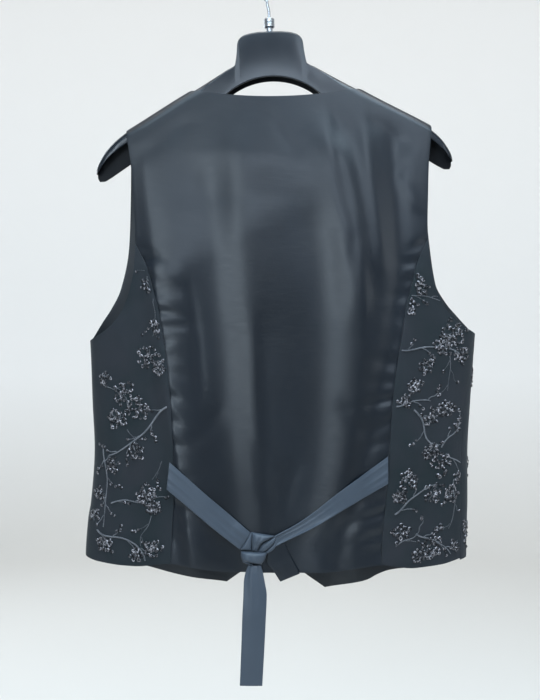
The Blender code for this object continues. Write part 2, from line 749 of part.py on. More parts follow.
def hanger_section(row, side):
    """One section as a T: a crowned flange with lips, over a web. Inboard the lips reach the bottom."""
    top, bottom = hanger_heights(row.x)
    lip_z = top - (top - bottom) * row.lip
    inner, pocket = row.half_depth - FLANGE_WALL, top - row.crown * 0.55 - FLANGE_THICK
    if row.lip == 1.0:
        inner, pocket = row.web + 2.0, bottom
    pocket = max(pocket, lip_z + LEAST_POCKET)
    crown = [
        (row.half_depth * math.sin(turn), top - row.crown * (1 - math.cos(turn)))
        for turn in np.radians((0.0, 25.0, 50.0, 70.0, 90.0))
    ]
    half = crown + [
        (row.half_depth, lip_z),
        (inner, lip_z),
        (inner, pocket),
        (row.web, pocket),
        (row.web, bottom),
    ]
    loop = half + [(-y, z) for y, z in reversed(half[1:])]
    forward = arm_forward(row.x)
    return [Vector((side * row.x, y + forward, z)) for y, z in loop]


def make_hanger():
    roll = Matrix.Rotation(-HANGER_ROLL, 4, "Y") @ Matrix.Scale(MM, 4)
    rows = [(row, -1) for row in reversed(HANGER[1:])] + [(row, 1) for row in HANGER]
    made = bmesh.new()
    loops = [[made.verts.new(roll @ p) for p in hanger_section(row, side)] for row, side in rows]
    for first, following in zip(loops, loops[1:]):
        for i in range(len(first)):
            made.faces.new((first[i - 1], first[i], following[i], following[i - 1]))
    made.faces.new(loops[0])
    made.faces.new(loops[-1])
    add_object("hanger", made, "plastic")
    turned("ferrule", FERRULE, FERRULE_SIDES, "steel", roll)
    make_hook(roll)


def hook_route():
    """The wire's middle: up from the ferrule, out to the left, round the bend and down."""
    radius = HOOK_BEND + HOOK_WIRE
    centre = -HOOK_BEND
    bend = []
    angle = HOOK_LEFT
    while angle >= HOOK_END:
        turn = math.radians(angle)
        bend.append((radius * math.cos(turn), centre + radius * math.sin(turn)))
        angle -= HOOK_BEND_STEP
    return rounded_route([*STEM, bend[0]], 4)[:-1] + bend


def rounded_route(points, steps):
    """Points along a smooth curve through the given ones."""
    padded = [points[0]] + list(points) + [points[-1]]
    route = []
    for a, b, c, d in zip(padded, padded[1:], padded[2:], padded[3:]):
        a, b, c, d = (np.array(p, float) for p in (a, b, c, d))
        for i in range(steps):
            t = i / steps
            pull = (c - a) * t + (2 * a - 5 * b + 4 * c - d) * t**2 + (3 * (b - c) + d - a) * t**3
            route.append(tuple(b + 0.5 * pull))
    route.append(tuple(points[-1]))
    return route


def make_hook(roll):
    curve = bpy.data.curves.new("hook", "CURVE")
    curve.dimensions = "3D"
    curve.bevel_depth = HOOK_WIRE * MM
    curve.bevel_resolution = 2
    curve.use_fill_caps = True
    route = hook_route()
    spline = curve.splines.new("POLY")
    spline.points.add(len(route) - 1)
    for point, (x, z) in zip(spline.points, route):
        point.co = (*(roll @ Vector((x, 0.0, z))), 1.0)
    curve.materials.append(finish_material("steel"))
    item = bpy.data.objects.new("hook", curve)
    bpy.context.collection.objects.link(item)


def main():
    for item in list(bpy.data.objects):
        bpy.data.objects.remove(item, do_unlink=True)
    make_panels()
    make_tie("tie_left", TIE_LEFT)
    make_tie("tie_right", TIE_RIGHT)
    make_tails()
    make_knot()
    make_buttons()
    make_hanger()


main()
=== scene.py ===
# %% [markdown]
# # An embroidered waistcoat on a suit hanger
#
# The garment hangs with its satin back to us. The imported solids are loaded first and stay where
# they are: they are the frame. Every finer piece below is then worked out in the same place, so
# nothing has to be fitted by eye afterwards.

# %% Load the frame
import math
from collections import namedtuple

import bmesh
import bpy
import numpy as np
from mathutils import Matrix, Vector


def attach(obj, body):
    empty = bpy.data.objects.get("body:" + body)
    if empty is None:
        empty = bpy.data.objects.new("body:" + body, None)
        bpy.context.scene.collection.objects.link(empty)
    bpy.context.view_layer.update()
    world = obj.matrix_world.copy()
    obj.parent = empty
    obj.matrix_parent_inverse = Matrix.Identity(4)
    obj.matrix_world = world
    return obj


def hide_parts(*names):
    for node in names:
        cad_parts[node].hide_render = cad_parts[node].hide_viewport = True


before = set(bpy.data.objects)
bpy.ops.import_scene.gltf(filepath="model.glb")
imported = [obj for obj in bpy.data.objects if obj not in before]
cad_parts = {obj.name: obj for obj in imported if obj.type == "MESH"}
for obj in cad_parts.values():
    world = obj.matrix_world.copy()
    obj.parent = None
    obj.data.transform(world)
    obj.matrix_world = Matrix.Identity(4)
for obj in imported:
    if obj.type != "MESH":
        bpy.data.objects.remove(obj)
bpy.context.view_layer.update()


def add_object(name, data):
    """A new object in the scene that holds a mesh, a lamp or a camera."""
    item = bpy.data.objects.new(name, data)
    bpy.context.collection.objects.link(item)
    return item


print("nodes:", len(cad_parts))

# %% [markdown]
# ## The camera
#
# A picture taken level, a little over a metre away, shows the garment without looking up or down
# at it. A lens is easier to choose from what it should take in: at the hanger's distance the
# picture is as tall as VIEW_HEIGHT, and the lens follows from that.

# %% The camera
CAMERA_PLACE = Vector((0.0035, -1.2, -0.468))
VIEW_HEIGHT = 0.8545
SENSOR = 36.0

camera = add_object("camera", bpy.data.cameras.new("camera"))
camera.data.lens = SENSOR * -CAMERA_PLACE.y / VIEW_HEIGHT
camera.data.sensor_width = SENSOR
camera.location = CAMERA_PLACE
camera.rotation_euler = (math.pi / 2, 0, 0)
bpy.context.scene.camera = camera
print("lens, mm:", round(camera.data.lens, 1))

# %% [markdown]
# ## Floor and backdrop
#
# A photographer's cove has no corner: the floor curves up into the wall. One profile turned
# round the upright axis gives a cove that looks the same from every side. It is wide, so that a
# camera anywhere round the garment stands inside it.

# %% The cove
FLOOR_HEIGHT, COVE_RADIUS, COVE_CURVE, COVE_TOP = -1.35, 4.2, 1.2, 3.2
COVE_SIDES, CURVE_STEPS = 96, 12


def full_turn(sides):
    """Angles evenly round a circle."""
    return np.linspace(0, 2 * math.pi, sides, endpoint=False)


def settled_mesh(name, made):
    """The finished mesh of a bmesh, which is freed."""
    mesh = bpy.data.meshes.new(name)
    made.to_mesh(mesh)
    made.free()
    return mesh


def skin(name, loops, capped):
    """A smooth object through a row of loops with equal counts, its first loop closed, or both."""
    made = bmesh.new()
    rings = [[made.verts.new(p) for p in loop] for loop in loops]
    for ring, following in zip(rings, rings[1:]):
        for i in range(len(ring)):
            made.faces.new((ring[i - 1], ring[i], following[i], following[i - 1]))
    made.faces.new(rings[0])
    if capped:
        made.faces.new(rings[-1])
    bmesh.ops.recalc_face_normals(made, faces=made.faces)
    mesh = settled_mesh(name, made)
    mesh.shade_smooth()
    return add_object(name, mesh)


curve_middle = COVE_RADIUS - COVE_CURVE
cove_profile = [(0.4, FLOOR_HEIGHT), (curve_middle, FLOOR_HEIGHT)]
for step in range(1, CURVE_STEPS + 1):
    turn = math.pi / 2 * step / CURVE_STEPS
    cove_profile.append(
        (curve_middle + COVE_CURVE * math.sin(turn), FLOOR_HEIGHT + COVE_CURVE * (1 - math.cos(turn)))
    )
cove_profile.append((COVE_RADIUS, COVE_TOP))
cove_turns = [2 * math.pi * i / COVE_SIDES for i in range(COVE_SIDES)]
cove_loops = [[(r * math.cos(a), r * math.sin(a), z) for a in cove_turns] for r, z in cove_profile]
cove = skin("cove", cove_loops, capped=False)
print("cove faces:", len(cove.data.polygons))

# %% [markdown]
# ## Light
#
# Satin is read by what it mirrors. Large soft lamps give its folds wide, gentle highlights, and a
# darker part of the room between them keeps the troughs deep. The main lamp is tall and narrow
# and stands on the left, a small one above the camera shows in the hanger's head, another lights
# the right shoulder, a weaker one fills the right, and a wide one hangs overhead. One on the far
# side lights the front panels, and the last is for the wall alone.

# %% The lamps
Lamp = namedtuple("Lamp", "name place aim width height watts colour")
LAMPS = (
    Lamp("main_lamp", (-0.80, -2.22, -0.08), (0, 0, -0.4), 0.42, 1.74, 23.5, (0.74, 0.88, 1.0)),
    Lamp("head_lamp", (0.02, -1.75, 0.30), (0.0, 0, -0.15), 0.5, 0.32, 5.0, (0.70, 0.84, 1.0)),
    Lamp("shoulder_lamp", (0.58, -1.7, 0.75), (0.1, 0, -0.2), 0.5, 0.7, 6.5, (0.72, 0.85, 1.0)),
    Lamp("fill_lamp", (1.9, -1.5, 0.0), (0, 0, -0.45), 0.6, 1.5, 8.0, (0.84, 0.93, 1.0)),
    Lamp("top_lamp", (0.1, -0.62, 1.45), (0.05, -0.1, -0.2), 2.2, 1.8, 92.0, (0.68, 0.86, 1.0)),
    Lamp("front_lamp", (-1.7, 2.0, 0.4), (0, 0, -0.4), 0.5, 1.6, 14.0, (0.84, 0.92, 1.0)),
    Lamp("wall_lamp", (0.0, 0.9, 2.4), (0, 4.0, -0.6), 3.2, 0.8, 74.0, (1.0, 0.97, 0.93)),
)
ROOM_COLOUR, ROOM_STRENGTH = (0.88, 0.93, 1.0), 0.06

for lamp in LAMPS:
    light = bpy.data.lights.new(lamp.name, "AREA")
    light.shape = "RECTANGLE"
    light.size, light.size_y = lamp.width, lamp.height
    light.energy = lamp.watts
    light.color = lamp.colour
    item = add_object(lamp.name, light)
    item.location = lamp.place
    item.rotation_euler = (Vector(lamp.aim) - Vector(lamp.place)).to_track_quat("-Z", "Y").to_euler()

room = bpy.data.worlds.new("room")
bpy.context.scene.world = room
room.use_nodes = True
room.node_tree.nodes["Background"].inputs["Color"].default_value = (*ROOM_COLOUR, 1)
room.node_tree.nodes["Background"].inputs["Strength"].default_value = ROOM_STRENGTH
bpy.context.scene.view_settings.view_transform = "Standard"
print("lamps:", len(LAMPS))

# %% [markdown]
# ## Finishes
#
# Each finish is a small shader tree. A helper makes the shader with its fixed values, and others
# add what varies: a colour that drifts slowly, and a bump for the weave or the grain. The cloth
# panels carry a map in metres, called cloth_map, so that the weave keeps its true size and
# follows the cloth. Hard pieces use their own object coordinates.

# %% Helpers for finishes
def start_finish(name, colour, roughness, **sockets):
    """A material with a Principled shader. Other socket values are given by name, _ for a space."""
    material = bpy.data.materials.new(name)
    material.use_nodes = True
    shader = material.node_tree.nodes["Principled BSDF"]
    shader.inputs["Base Color"].default_value = (*colour, 1)
    shader.inputs["Roughness"].default_value = roughness
    for key, value in sockets.items():
        shader.inputs[key.replace("_", " ")].default_value = value
    return material, shader


def add_node(tree, kind, settings=(), **inputs):
    """A node with its settings, and its inputs set to values or linked to sockets."""
    node = tree.nodes.new(kind)
    for name, value in settings:
        setattr(node, name, value)
    for name, value in inputs.items():
        socket = node.inputs[int(name[3:])] if name.startswith("at_") else node.inputs[name.replace("_", " ")]
        if isinstance(value, bpy.types.NodeSocket):
            tree.links.new(value, socket)
        else:
            socket.default_value = value
    return node


def coordinates(material, scale, mapped=True):
    """The cloth's map, or object coordinates, stretched by a scale for each axis."""
    tree = material.node_tree
    if mapped:
        source = add_node(tree, "ShaderNodeUVMap", [("uv_map", "cloth_map")]).outputs["UV"]
    else:
        source = add_node(tree, "ShaderNodeTexCoord").outputs["Object"]
    return add_node(tree, "ShaderNodeMapping", Scale=scale, Vector=source).outputs["Vector"]


def noise(material, where, scale, detail=3.0, rough=0.55):
    return add_node(
        material.node_tree, "ShaderNodeTexNoise", Scale=scale, Detail=detail, Roughness=rough, Vector=where
    ).outputs["Fac"]


def ribs(material, where, scale):
    return add_node(
        material.node_tree, "ShaderNodeTexWave", [("bands_direction", "DIAGONAL")],
        Scale=scale, Distortion=0.6, Detail=1.0, Vector=where,
    ).outputs["Fac"]


def drift(material, shader, factor, dark, light, low=0.35, high=0.65):
    """Lets the colour run from dark to light with a texture."""
    ramp = add_node(material.node_tree, "ShaderNodeValToRGB", Fac=factor)
    for end, place, colour in zip(ramp.color_ramp.elements, (low, high), (dark, light)):
        end.position, end.color = place, (*colour, 1)
    material.node_tree.links.new(ramp.outputs["Color"], shader.inputs["Base Color"])


def vary_roughness(material, shader, factor, low, high):
    spread = add_node(material.node_tree, "ShaderNodeMapRange", To_Min=low, To_Max=high, Value=factor)
    material.node_tree.links.new(spread.outputs["Result"], shader.inputs["Roughness"])


def raise_by(material, shader, heights):
    """Chains bumps, each a (texture, strength, depth in metres)."""
    below = {}
    for height, strength, depth in heights:
        bump = add_node(
            material.node_tree, "ShaderNodeBump", Strength=strength, Distance=depth, Height=height, **below
        )
        below = {"Normal": bump.outputs["Normal"]}
    material.node_tree.links.new(below["Normal"], shader.inputs["Normal"])


print("finish helpers ready")

# %% [markdown]
# ## Satin, crepe and lining
#
# Satin is woven so that long threads lie on its face: it is smooth, it mirrors softly, and close up it shows
# fine streaks along the threads. Crepe is woven from twisted yarn, so it is matte with a pebbled face. The
# lining is a plain dark satin. The belt is cut from the same satin as the back, but its colour is painted
# much lighter: painted light for the sheen that the belt catches.

# %% Cloth finishes
def make_satin(name, dark, light, roughness, sheen):
    material, shader = start_finish(
        name, light, roughness, Specular_IOR_Level=0.36, Sheen_Weight=sheen, Sheen_Roughness=0.45
    )
    drift(material, shader, noise(material, coordinates(material, (9, 3, 1)), 1.0), dark, light)
    threads = noise(material, coordinates(material, (3400, 110, 1)), 1.0, 2.0)
    twill = ribs(material, coordinates(material, (520, 520, 1)), 1.0)
    slubs = noise(material, coordinates(material, (60, 260, 1)), 1.0, 3.0)
    vary_roughness(material, shader, slubs, roughness - 0.05, roughness + 0.07)
    raise_by(material, shader, ((slubs, 0.25, 0.0004), (threads, 0.22, 0.0001), (twill, 0.10, 0.00008)))
    return material


def make_crepe():
    material, shader = start_finish(
        "crepe", (0.009, 0.0130, 0.017), 0.78, Specular_IOR_Level=0.30, Sheen_Weight=0.08, Sheen_Roughness=0.5
    )
    cloud = noise(material, coordinates(material, (16, 12, 1)), 1.0, 5.0)
    drift(material, shader, cloud, (0.0050, 0.0103, 0.0135), (0.0122, 0.0146, 0.0196))
    pebbles = noise(material, coordinates(material, (1500, 1500, 1)), 1.0, 3.0, 0.6)
    furrows = noise(material, coordinates(material, (240, 900, 1)), 1.0, 2.0)
    raise_by(material, shader, ((furrows, 0.30, 0.0003), (pebbles, 0.55, 0.0002)))
    return material


SATIN = make_satin("satin", (0.0036, 0.0061, 0.0101), (0.0059, 0.0094, 0.0148), 0.32, 0.02)
# The belt's colour is the back's satin painted lighter: painted light for the belt's sheen.
BELT_SATIN_PAINTED_LIGHTER = make_satin("belt_satin", (0.036, 0.048, 0.066), (0.046, 0.060, 0.080), 0.42, 0.06)
LINING = make_satin("lining", (0.006, 0.008, 0.011), (0.010, 0.013, 0.017), 0.46, 0.03)
CREPE = make_crepe()
print("cloth finishes:", [m.name for m in (SATIN, BELT_SATIN_PAINTED_LIGHTER, LINING, CREPE)])

# %% [markdown]
# ## Plastic, steel, thread and sequins
#
# The hanger is moulded in black plastic with a faint grain, and its hook is plated wire. The sequins are thin
# dark discs that mirror the room, so a lamp picks out one here and one there; their colours also run by
# chance from near black to pale, partly tone and partly painted glints and painted shade.

# %% Hard finishes and thread
def make_plastic(name, colour, roughness, gloss):
    material, shader = start_finish(name, colour, roughness, Specular_IOR_Level=gloss)
    where = coordinates(material, (1, 1, 1), mapped=False)
    vary_roughness(material, shader, noise(material, where, 40.0, 2.0), roughness - 0.04, roughness + 0.04)
    raise_by(material, shader, ((noise(material, where, 1400.0, 2.0), 0.12, 0.0001),))
    return material


def make_steel():
    material, shader = start_finish("steel", (0.42, 0.44, 0.47), 0.24, Metallic=1.0)
    where = coordinates(material, (1, 1, 0.12), mapped=False)
    streaks = noise(material, where, 900.0, 3.0)
    vary_roughness(material, shader, streaks, 0.16, 0.34)
    raise_by(material, shader, ((streaks, 0.08, 0.0001),))
    return material


def make_gloss(name, colour, roughness, metallic):
    material, shader = start_finish(
        name, colour, roughness, Metallic=metallic, Coat_Weight=0.35, Coat_Roughness=0.1
    )
    where = coordinates(material, (1, 1, 1), mapped=False)
    vary_roughness(material, shader, noise(material, where, 160.0), roughness - 0.05, roughness + 0.12)
    return material


def make_sequin():
    """Thin film: each disc's colour runs from near black to pale, some a little rosy: partly tone, partly
    painted glints and painted shade.
    """
    material, shader = start_finish("sequin", (0.1, 0.1, 0.11), 0.22, Metallic=0.6)
    where = coordinates(material, (1, 1, 1), mapped=False)
    tone_and_painted_glints = noise(material, where, 330.0, 0.0)
    # Near black to pale by noise: partly tone, partly painted glints on the pale sequins and painted shade on
    # the dark ones.
    drift(material, shader, tone_and_painted_glints, (0.022, 0.023, 0.027), (0.42, 0.40, 0.43), 0.45, 0.78)
    vary_roughness(material, shader, noise(material, where, 160.0), 0.14, 0.34)
    return material


def make_thread(name, dark, light):
    material, shader = start_finish(name, light, 0.55, Sheen_Weight=0.4, Sheen_Roughness=0.4)
    where = coordinates(material, (1, 1, 1), mapped=False)
    drift(material, shader, noise(material, where, 90.0), dark, light)
    raise_by(material, shader, ((noise(material, where, 2600.0, 2.0), 0.4, 0.0002),))
    return material


PLASTIC = make_plastic("hanger_plastic", (0.010, 0.013, 0.018), 0.235, 0.40)
# The inner plastic is darker than the outer: painted shade for the hollow, on a duller finish.
PLASTIC_INSIDE_PAINTED_SHADE = make_plastic("hanger_inside", (0.004, 0.005, 0.007), 0.50, 0.16)
STEEL = make_steel()
BUTTON_FINISH = make_gloss("button_gloss", (0.012, 0.012, 0.015), 0.22, 0.0)
SEQUIN_PAINTED_GLINTS_AND_TONE = make_sequin()
# A sewn bead sits in each sequin's hole; its near-black colour is also painted shade for the dark hole.
BEAD_PAINTED_SHADE_FINISH = make_gloss("small_bead", (0.006, 0.006, 0.008), 0.3, 0.0)
CORD_THREAD = make_thread("embroidery_thread", (0.060, 0.064, 0.076), (0.130, 0.133, 0.148))
DARK_THREAD = make_thread("dark_thread", (0.012, 0.014, 0.017), (0.022, 0.025, 0.03))

# The backdrop is painted darker and warmer from this height down to the floor: painted shade.
PAINTED_SHADE_TOP = -0.6  # the backdrop's shade grows from here down to the floor
backdrop, backdrop_shader = start_finish("painted_wall", (0.82, 0.81, 0.80), 0.9)
where = coordinates(backdrop, (0, 0, 1), mapped=False)
height_only = add_node(backdrop.node_tree, "ShaderNodeSeparateXYZ", Vector=where).outputs["Z"]
rise = add_node(
    backdrop.node_tree, "ShaderNodeMapRange", From_Min=FLOOR_HEIGHT, From_Max=PAINTED_SHADE_TOP, Value=height_only
)
drift(backdrop, backdrop_shader, rise.outputs["Result"], (0.66, 0.64, 0.61), (0.825, 0.815, 0.805), 0.0, 1.0)
cove.data.materials.append(backdrop)
print("finishes:", len(bpy.data.materials))

# %% [markdown]
# ## Reading the sizes
#
# The garment's form is worked out from short tables: a row says how wide and how deep the cloth
# hangs at a height. A smooth curve through the rows gives every height in between. It never
# overshoots, so a straight edge stays straight. The readers take whole arrays at once, because
# a fine panel has tens of thousands of points.

# %% Smooth readers
MM = 0.001


def smooth(points):
    """A smooth, never overshooting function through (place, value) points, straight at its ends."""
    places, values = np.array(sorted(points), float).T
    steps = np.diff(values) / np.diff(places)
    slopes = np.concatenate([steps[:1], np.zeros(len(steps) - 1), steps[-1:]])
    for i in range(1, len(steps)):
        before, after = steps[i - 1], steps[i]
        if before * after > 0:
            slopes[i] = 2 * before * after / (before + after)

    def read(place):
        place = np.clip(place, places[0], places[-1])
        i = np.clip(np.searchsorted(places, place) - 1, 0, len(steps) - 1)
        width = places[i + 1] - places[i]
        t = (place - places[i]) / width
        rise = values[i + 1] - values[i]
        bow = (slopes[i] * width - rise) * (1 - t) - (slopes[i + 1] * width - rise) * t
        return values[i] + t * rise + t * (1 - t) * bow

    return read


def readers(rows):
    """A smooth reader for each column of a table, through the rows that give a value."""
    key, *names = rows[0]._fields
    given = {name: [row for row in rows if getattr(row, name) is not None] for name in names}
    return {
        name: smooth([(getattr(row, key), getattr(row, name)) for row in kept])
        for name, kept in given.items()
    }


def count_rows(table):
    return sum(len(rows) for rows in table.values())


def bell(distance, width):
    """1 where the distance is 0, and close to 0 beyond two widths."""
    return np.exp(-((distance / width) ** 2))


def unit(directions):
    """Directions with a length of 1."""
    return directions / np.linalg.norm(directions, axis=-1, keepdims=True)


def run_along(points):
    """How far along a line of points each one lies."""
    return np.concatenate([[0.0], np.cumsum(np.linalg.norm(np.diff(points, axis=0), axis=1))])


def ease(share):
    share = np.clip(share, 0.0, 1.0)
    return share * share * (3 - 2 * share)


print("halfway from 0 to 1 eases to", ease(0.5))

# %% [markdown]
# ## The garment's sizes
#
# All sizes are in millimetres, with heights measured from the hook. The garment is drawn upright
# and even about its own middle. A ring is one level of it: half its width, its depth to the back
# and to the front, and how far it has shifted and leaned as it hangs. The edges are half widths
# at a height, and a hem is a height at a half width.

# %% Tables of the garment
CLOTH, SEAM_GAP, BELT_CLOTH = 1.5, 0.3, 1.2
NECK_HALF, TIP_HALF = 106.0, 185.0
SHOULDER_APEX, SHOULDER_PITCH, NECK_ROUND, NECK_SCOOP = -92.5, 0.56, 60.0, 12.3
HEM, CORNER, JOIN, SIDE_TOP = -722.0, -452.5, -338.0, -338.8
HEM_FADE, SETTLE_DROP, SQUARENESS = 150.0, 220.0, 0.8

Ring = namedtuple("Ring", "height half_width back front shift lean")
RINGS = (
    Ring(-100, 246, 40, 32, 9.5, 0.0115),
    Ring(-151.7, 246, 40, 32, 10.05, 0.0123),
    Ring(-196, 245, 41, 33, 13.9, 0.0181),
    Ring(-300, 243, 43, 35, 16.6, 0.0184),
    Ring(-380, 239.5, 45, 36, 18, 0.0184),
    Ring(-452.5, 234.4, 46, 37, 18.8, 0.0182),
    Ring(-529, 230.1, 47, 37, 17.5, 0.0120),
    Ring(-590, 227.1, 47, 36, 16.9, 0.0060),
    Ring(-651, 229.2, 46, 36, 14.8, -0.0030),
    Ring(-675.5, 230.7, 45.5, 35.5, 12.6, -0.0070),
    Ring(-718, 231.9, 45, 35, 10.8, -0.0060),
    Ring(-770, 233, 44, 34, 10.8, -0.0060),
)
Edge = namedtuple("Edge", "height half_width")
BACK_ARMHOLE = (
    Edge(-196, 185), Edge(-246, 178.3), Edge(-288, 175.8), Edge(-324, 174.2),
    Edge(-348, 174.9), Edge(-372, 177.1), Edge(-396, 182.7), Edge(-414, 190),
    Edge(-426, 197.5), Edge(-438, 209.4), Edge(-447.6, 225), Edge(-452.5, 234.4),
)
FRONT_ARMHOLE = {
    "left": (
        Edge(-196, 185), Edge(-281, 187.2), Edge(-318, 188.6), Edge(-343, 190.4),
        Edge(-390, 200.5), Edge(-413, 211.5), Edge(-430.5, 222.5), Edge(-452.5, 234.4),
    ),
    "right": (
        Edge(-196, 185), Edge(-281, 182.8), Edge(-318, 183.6), Edge(-343, 185.4),
        Edge(-390, 191.5), Edge(-413, 203), Edge(-430.5, 216.5), Edge(-452.5, 234.4),
    ),
}
PRINCESS_SEAM = (
    Edge(-338, 174.4), Edge(-355, 166), Edge(-368.5, 160), Edge(-397, 152.6),
    Edge(-417, 146.6), Edge(-438, 143.2), Edge(-468, 138.3), Edge(-505, 133.3),
    Edge(-539, 130.2), Edge(-586.5, 128), Edge(-646, 125.6), Edge(-693, 124.4),
    Edge(-731, 125.5),
)
OVERLAP, OVERLAP_LIFT, LIFTED_WITHIN, LIFT_BLEND = 12.0, 2.2, 24.0, 26.0
NECK_EDGE = (
    Edge(-151.7, 106), Edge(-200, 84), Edge(-280, 49), Edge(-360, 17.5),
    Edge(-415, -5), Edge(-440, -OVERLAP), Edge(-520, -OVERLAP), Edge(-770, -OVERLAP),
)
SIDE_SEAM_TURN = {"left": 90.0, "right": 73.0}  # degrees round from the centre back
SIDE_SEAM_SETTLE = 90.0

Hem = namedtuple("Hem", "half_width height")
BACK_HEM = (
    Hem(0, -731.5), Hem(60, -730), Hem(100, -724.5), Hem(125, -721.5),
    Hem(165, -726), Hem(205, -722.5), Hem(220, -719.5), Hem(232, -717),
)
POINT_HALF = 61.3
FRONT_HEM = {
    "left": (
        Hem(-OVERLAP, -706.5), Hem(POINT_HALF, -758.9), Hem(112, -751), Hem(134, -745.9),
        Hem(174, -734), Hem(205, -724), Hem(220, -719.5), Hem(232, -717),
    ),
    "right": (
        Hem(-OVERLAP, -714.5), Hem(POINT_HALF, -765.2), Hem(112.6, -754.5), Hem(127.6, -746.8),
        Hem(141.3, -741.9), Hem(174, -736.5), Hem(205, -724.5), Hem(220, -719.5),
        Hem(232, -717),
    ),
}
# A fold runs through four places, evenly apart in height. Out is how far it stands proud, and
# its two widths are those of its slopes towards the left and the right.
Fold = namedtuple("Fold", "out left right top bottom x_top x_upper x_lower x_bottom")
FOLDS = {
    "back": (
        Fold(2.2, 26, 30, -175, -400, -56, -48, -43, -39),
        Fold(2, 18, 9, -400, -715, -38, -33, -27, -19),
        Fold(-3.6, 38, 32, -270, -715, 28, 42, 41, 24),
        Fold(-4.6, 66, 75, -230, -735, -22, -18, -12, -2),
        Fold(5, 27, 13, -175, -400, 54, 74, 87, 92),
        Fold(1.7, 28, 12, -400, -715, 92, 87, 73, 50),
        Fold(2.2, 60, 34, -200, -735, 92, 118, 112, 84),
        Fold(-2.2, 9, 12, -160, -330, 68, 70, 76, 87),
        Fold(1.8, 10, 10, -170, -345, 100, 104, 109, 115),
        Fold(-2.8, 14, 14, -175, -715, 136, 139, 112, 72),
        Fold(-4, 30, 30, -225, -720, -88, -82, -70, -45),
        Fold(2.4, 15, 38, -160, -330, -161, -159, -157, -152),
        Fold(6.2, 12, 38, -330, -715, -152, -144, -122, -97),
        Fold(-1.8, 14, 14, -470, -740, 186, 183, 178, 176),
        Fold(-1.8, 14, 14, -480, -740, -190, -186, -176, -172),
    ),
    "front": (
        Fold(-2.6, 16, 16, -250, -740, 140, 128, 112, 104),
        Fold(-2.4, 16, 16, -240, -740, -138, -132, -118, -100),
        Fold(2.4, 18, 18, -230, -745, 98, 86, 74, 66),
        Fold(2.2, 18, 18, -260, -745, -96, -88, -70, -62),
        Fold(1.8, 15, 15, -420, -735, 176, 170, 160, 152),
        Fold(1.8, 15, 15, -430, -735, -174, -172, -158, -150),
    ),
}
FOLD_FADE = 60.0
print("rings and folds:", len(RINGS), count_rows(FOLDS))

# %% [markdown]
# ## The hanger's sizes
#
# A suit hanger is moulded hollow from below: a T-shaped arm with a broad, crowned top that the
# shoulders rest on. Each station is one cut across the arm. The cloth needs these sizes too,
# since at the shoulders it lies round the arm.

# %% Tables of the hanger
HANGER_ROLL = math.radians(2.1)
HANGER_HALF, HANGER_CLEARANCE, ARM_FORWARD = 217.0, 3.1, 10.0
ARCH_TOP, ARCH_RADIUS, HEAD_HALF = -137.5, 86.0, 40.8
Station = namedtuple("Station", "x top height half_depth crown web lip")
HEAD_TOPS = (
    (0.0, -80.6), (12.0, -80.8), (22.0, -81.8), (31.0, -84.0), (36.5, -87.6), (39.8, -93.5),
    (HEAD_HALF, -104.0), (44.0, None), (52.0, None),
)
HANGER = (
    *(Station(x, top, None, 12.0, 4.0, 5.0, 1.0) for x, top in HEAD_TOPS),
    Station(62, None, None, 12, 5, 5, 1),
    Station(72, None, 34.5, 12.2, 7, 5, 1),
    Station(88, None, 35, 12.6, 10.5, 5, 1),
    Station(110, None, 36, 13.4, 10.5, 5, 1),
    Station(135, None, 37, 15.2, 10.5, 4, 0.62),
    Station(160, None, 38.5, 17.6, 10.5, 3, 0.46),
    Station(180, None, 40, 19.6, 10.5, 2.4, 0.42),
    Station(193, -206, 38.5, 20.6, 10.5, 2.2, 0.42),
    Station(203, -215.5, 35, 20.6, 10, 2.2, 0.44),
    Station(210, -225, 28.5, 19, 8.5, 2.2, 0.48),
    Station(215, -234.5, 19, 16, 6, 2.2, 0.54),
    Station(HANGER_HALF, -241, 9, 12.5, 3, 2.2, 0.6),
)
OVER_ARM_DROP, ARM_ROOM = 15.0, 1.9
SWELL, SWELL_DROP, SWELL_GONE = 7.0, 24.0, 240.0
print("hanger stations:", len(HANGER))

# %% [markdown]
# ## One surface for the whole garment
#
# Every point of the garment has a share and a height. The share says how far round it lies: 0 at
# the centre back, 1 at the centre front, and below 0 on the wearer's left. A ring is a flattened
# oval, and the shares are spread along its real length, so cloth is never stretched sideways.
# Near the shoulders the oval closes round the hanger's arm.

# %% The surface
RING, STATION = readers(RINGS), readers(HANGER)
BACK_EDGE, SEAM, V_NECK = smooth(BACK_ARMHOLE), smooth(PRINCESS_SEAM), smooth(NECK_EDGE)
FRONT_EDGE = {side: smooth(rows) for side, rows in FRONT_ARMHOLE.items()}
BACK_HEM_AT = smooth(BACK_HEM)
FRONT_HEM_AT = {side: smooth(rows[1:]) for side, rows in FRONT_HEM.items()}
FOLD_PATHS = {
    face: [(fold, smooth(zip(np.linspace(fold.top, fold.bottom, 4), fold[5:]))) for fold in folds]
    for face, folds in FOLDS.items()
}
OUTLINE_TURN, OUTLINE_STEPS, MIDDLE_RING = math.pi * 1.1, 800, 7


def turned_depth(turn):
    """How deep the flattened ring is at a turn from the centre back: 1 there, -1 at the front."""
    across = np.cos(turn)
    return np.copysign(np.abs(across) ** SQUARENESS, across)


def ring_shares():
    """Turns round a ring, the share of its back-to-front length that each covers, and that length."""
    turns = np.linspace(0.0, OUTLINE_TURN, OUTLINE_STEPS)
    middle = RINGS[MIDDLE_RING]
    points = np.stack([middle.half_width * np.sin(turns), middle.back * turned_depth(turns)], axis=1)
    covered = run_along(points)
    half_girth = float(np.interp(math.pi, turns, covered))
    return turns, covered / half_girth, half_girth


TURNS, SHARES, HALF_GIRTH = ring_shares()


def share_at(turn):
    return np.interp(turn, TURNS, SHARES)


def turn_at(share):
    return np.interp(np.abs(share), SHARES, TURNS)


def back_share(half_width, height):
    return share_at(np.arcsin(np.minimum(half_width / RING["half_width"](height), 1.0)))


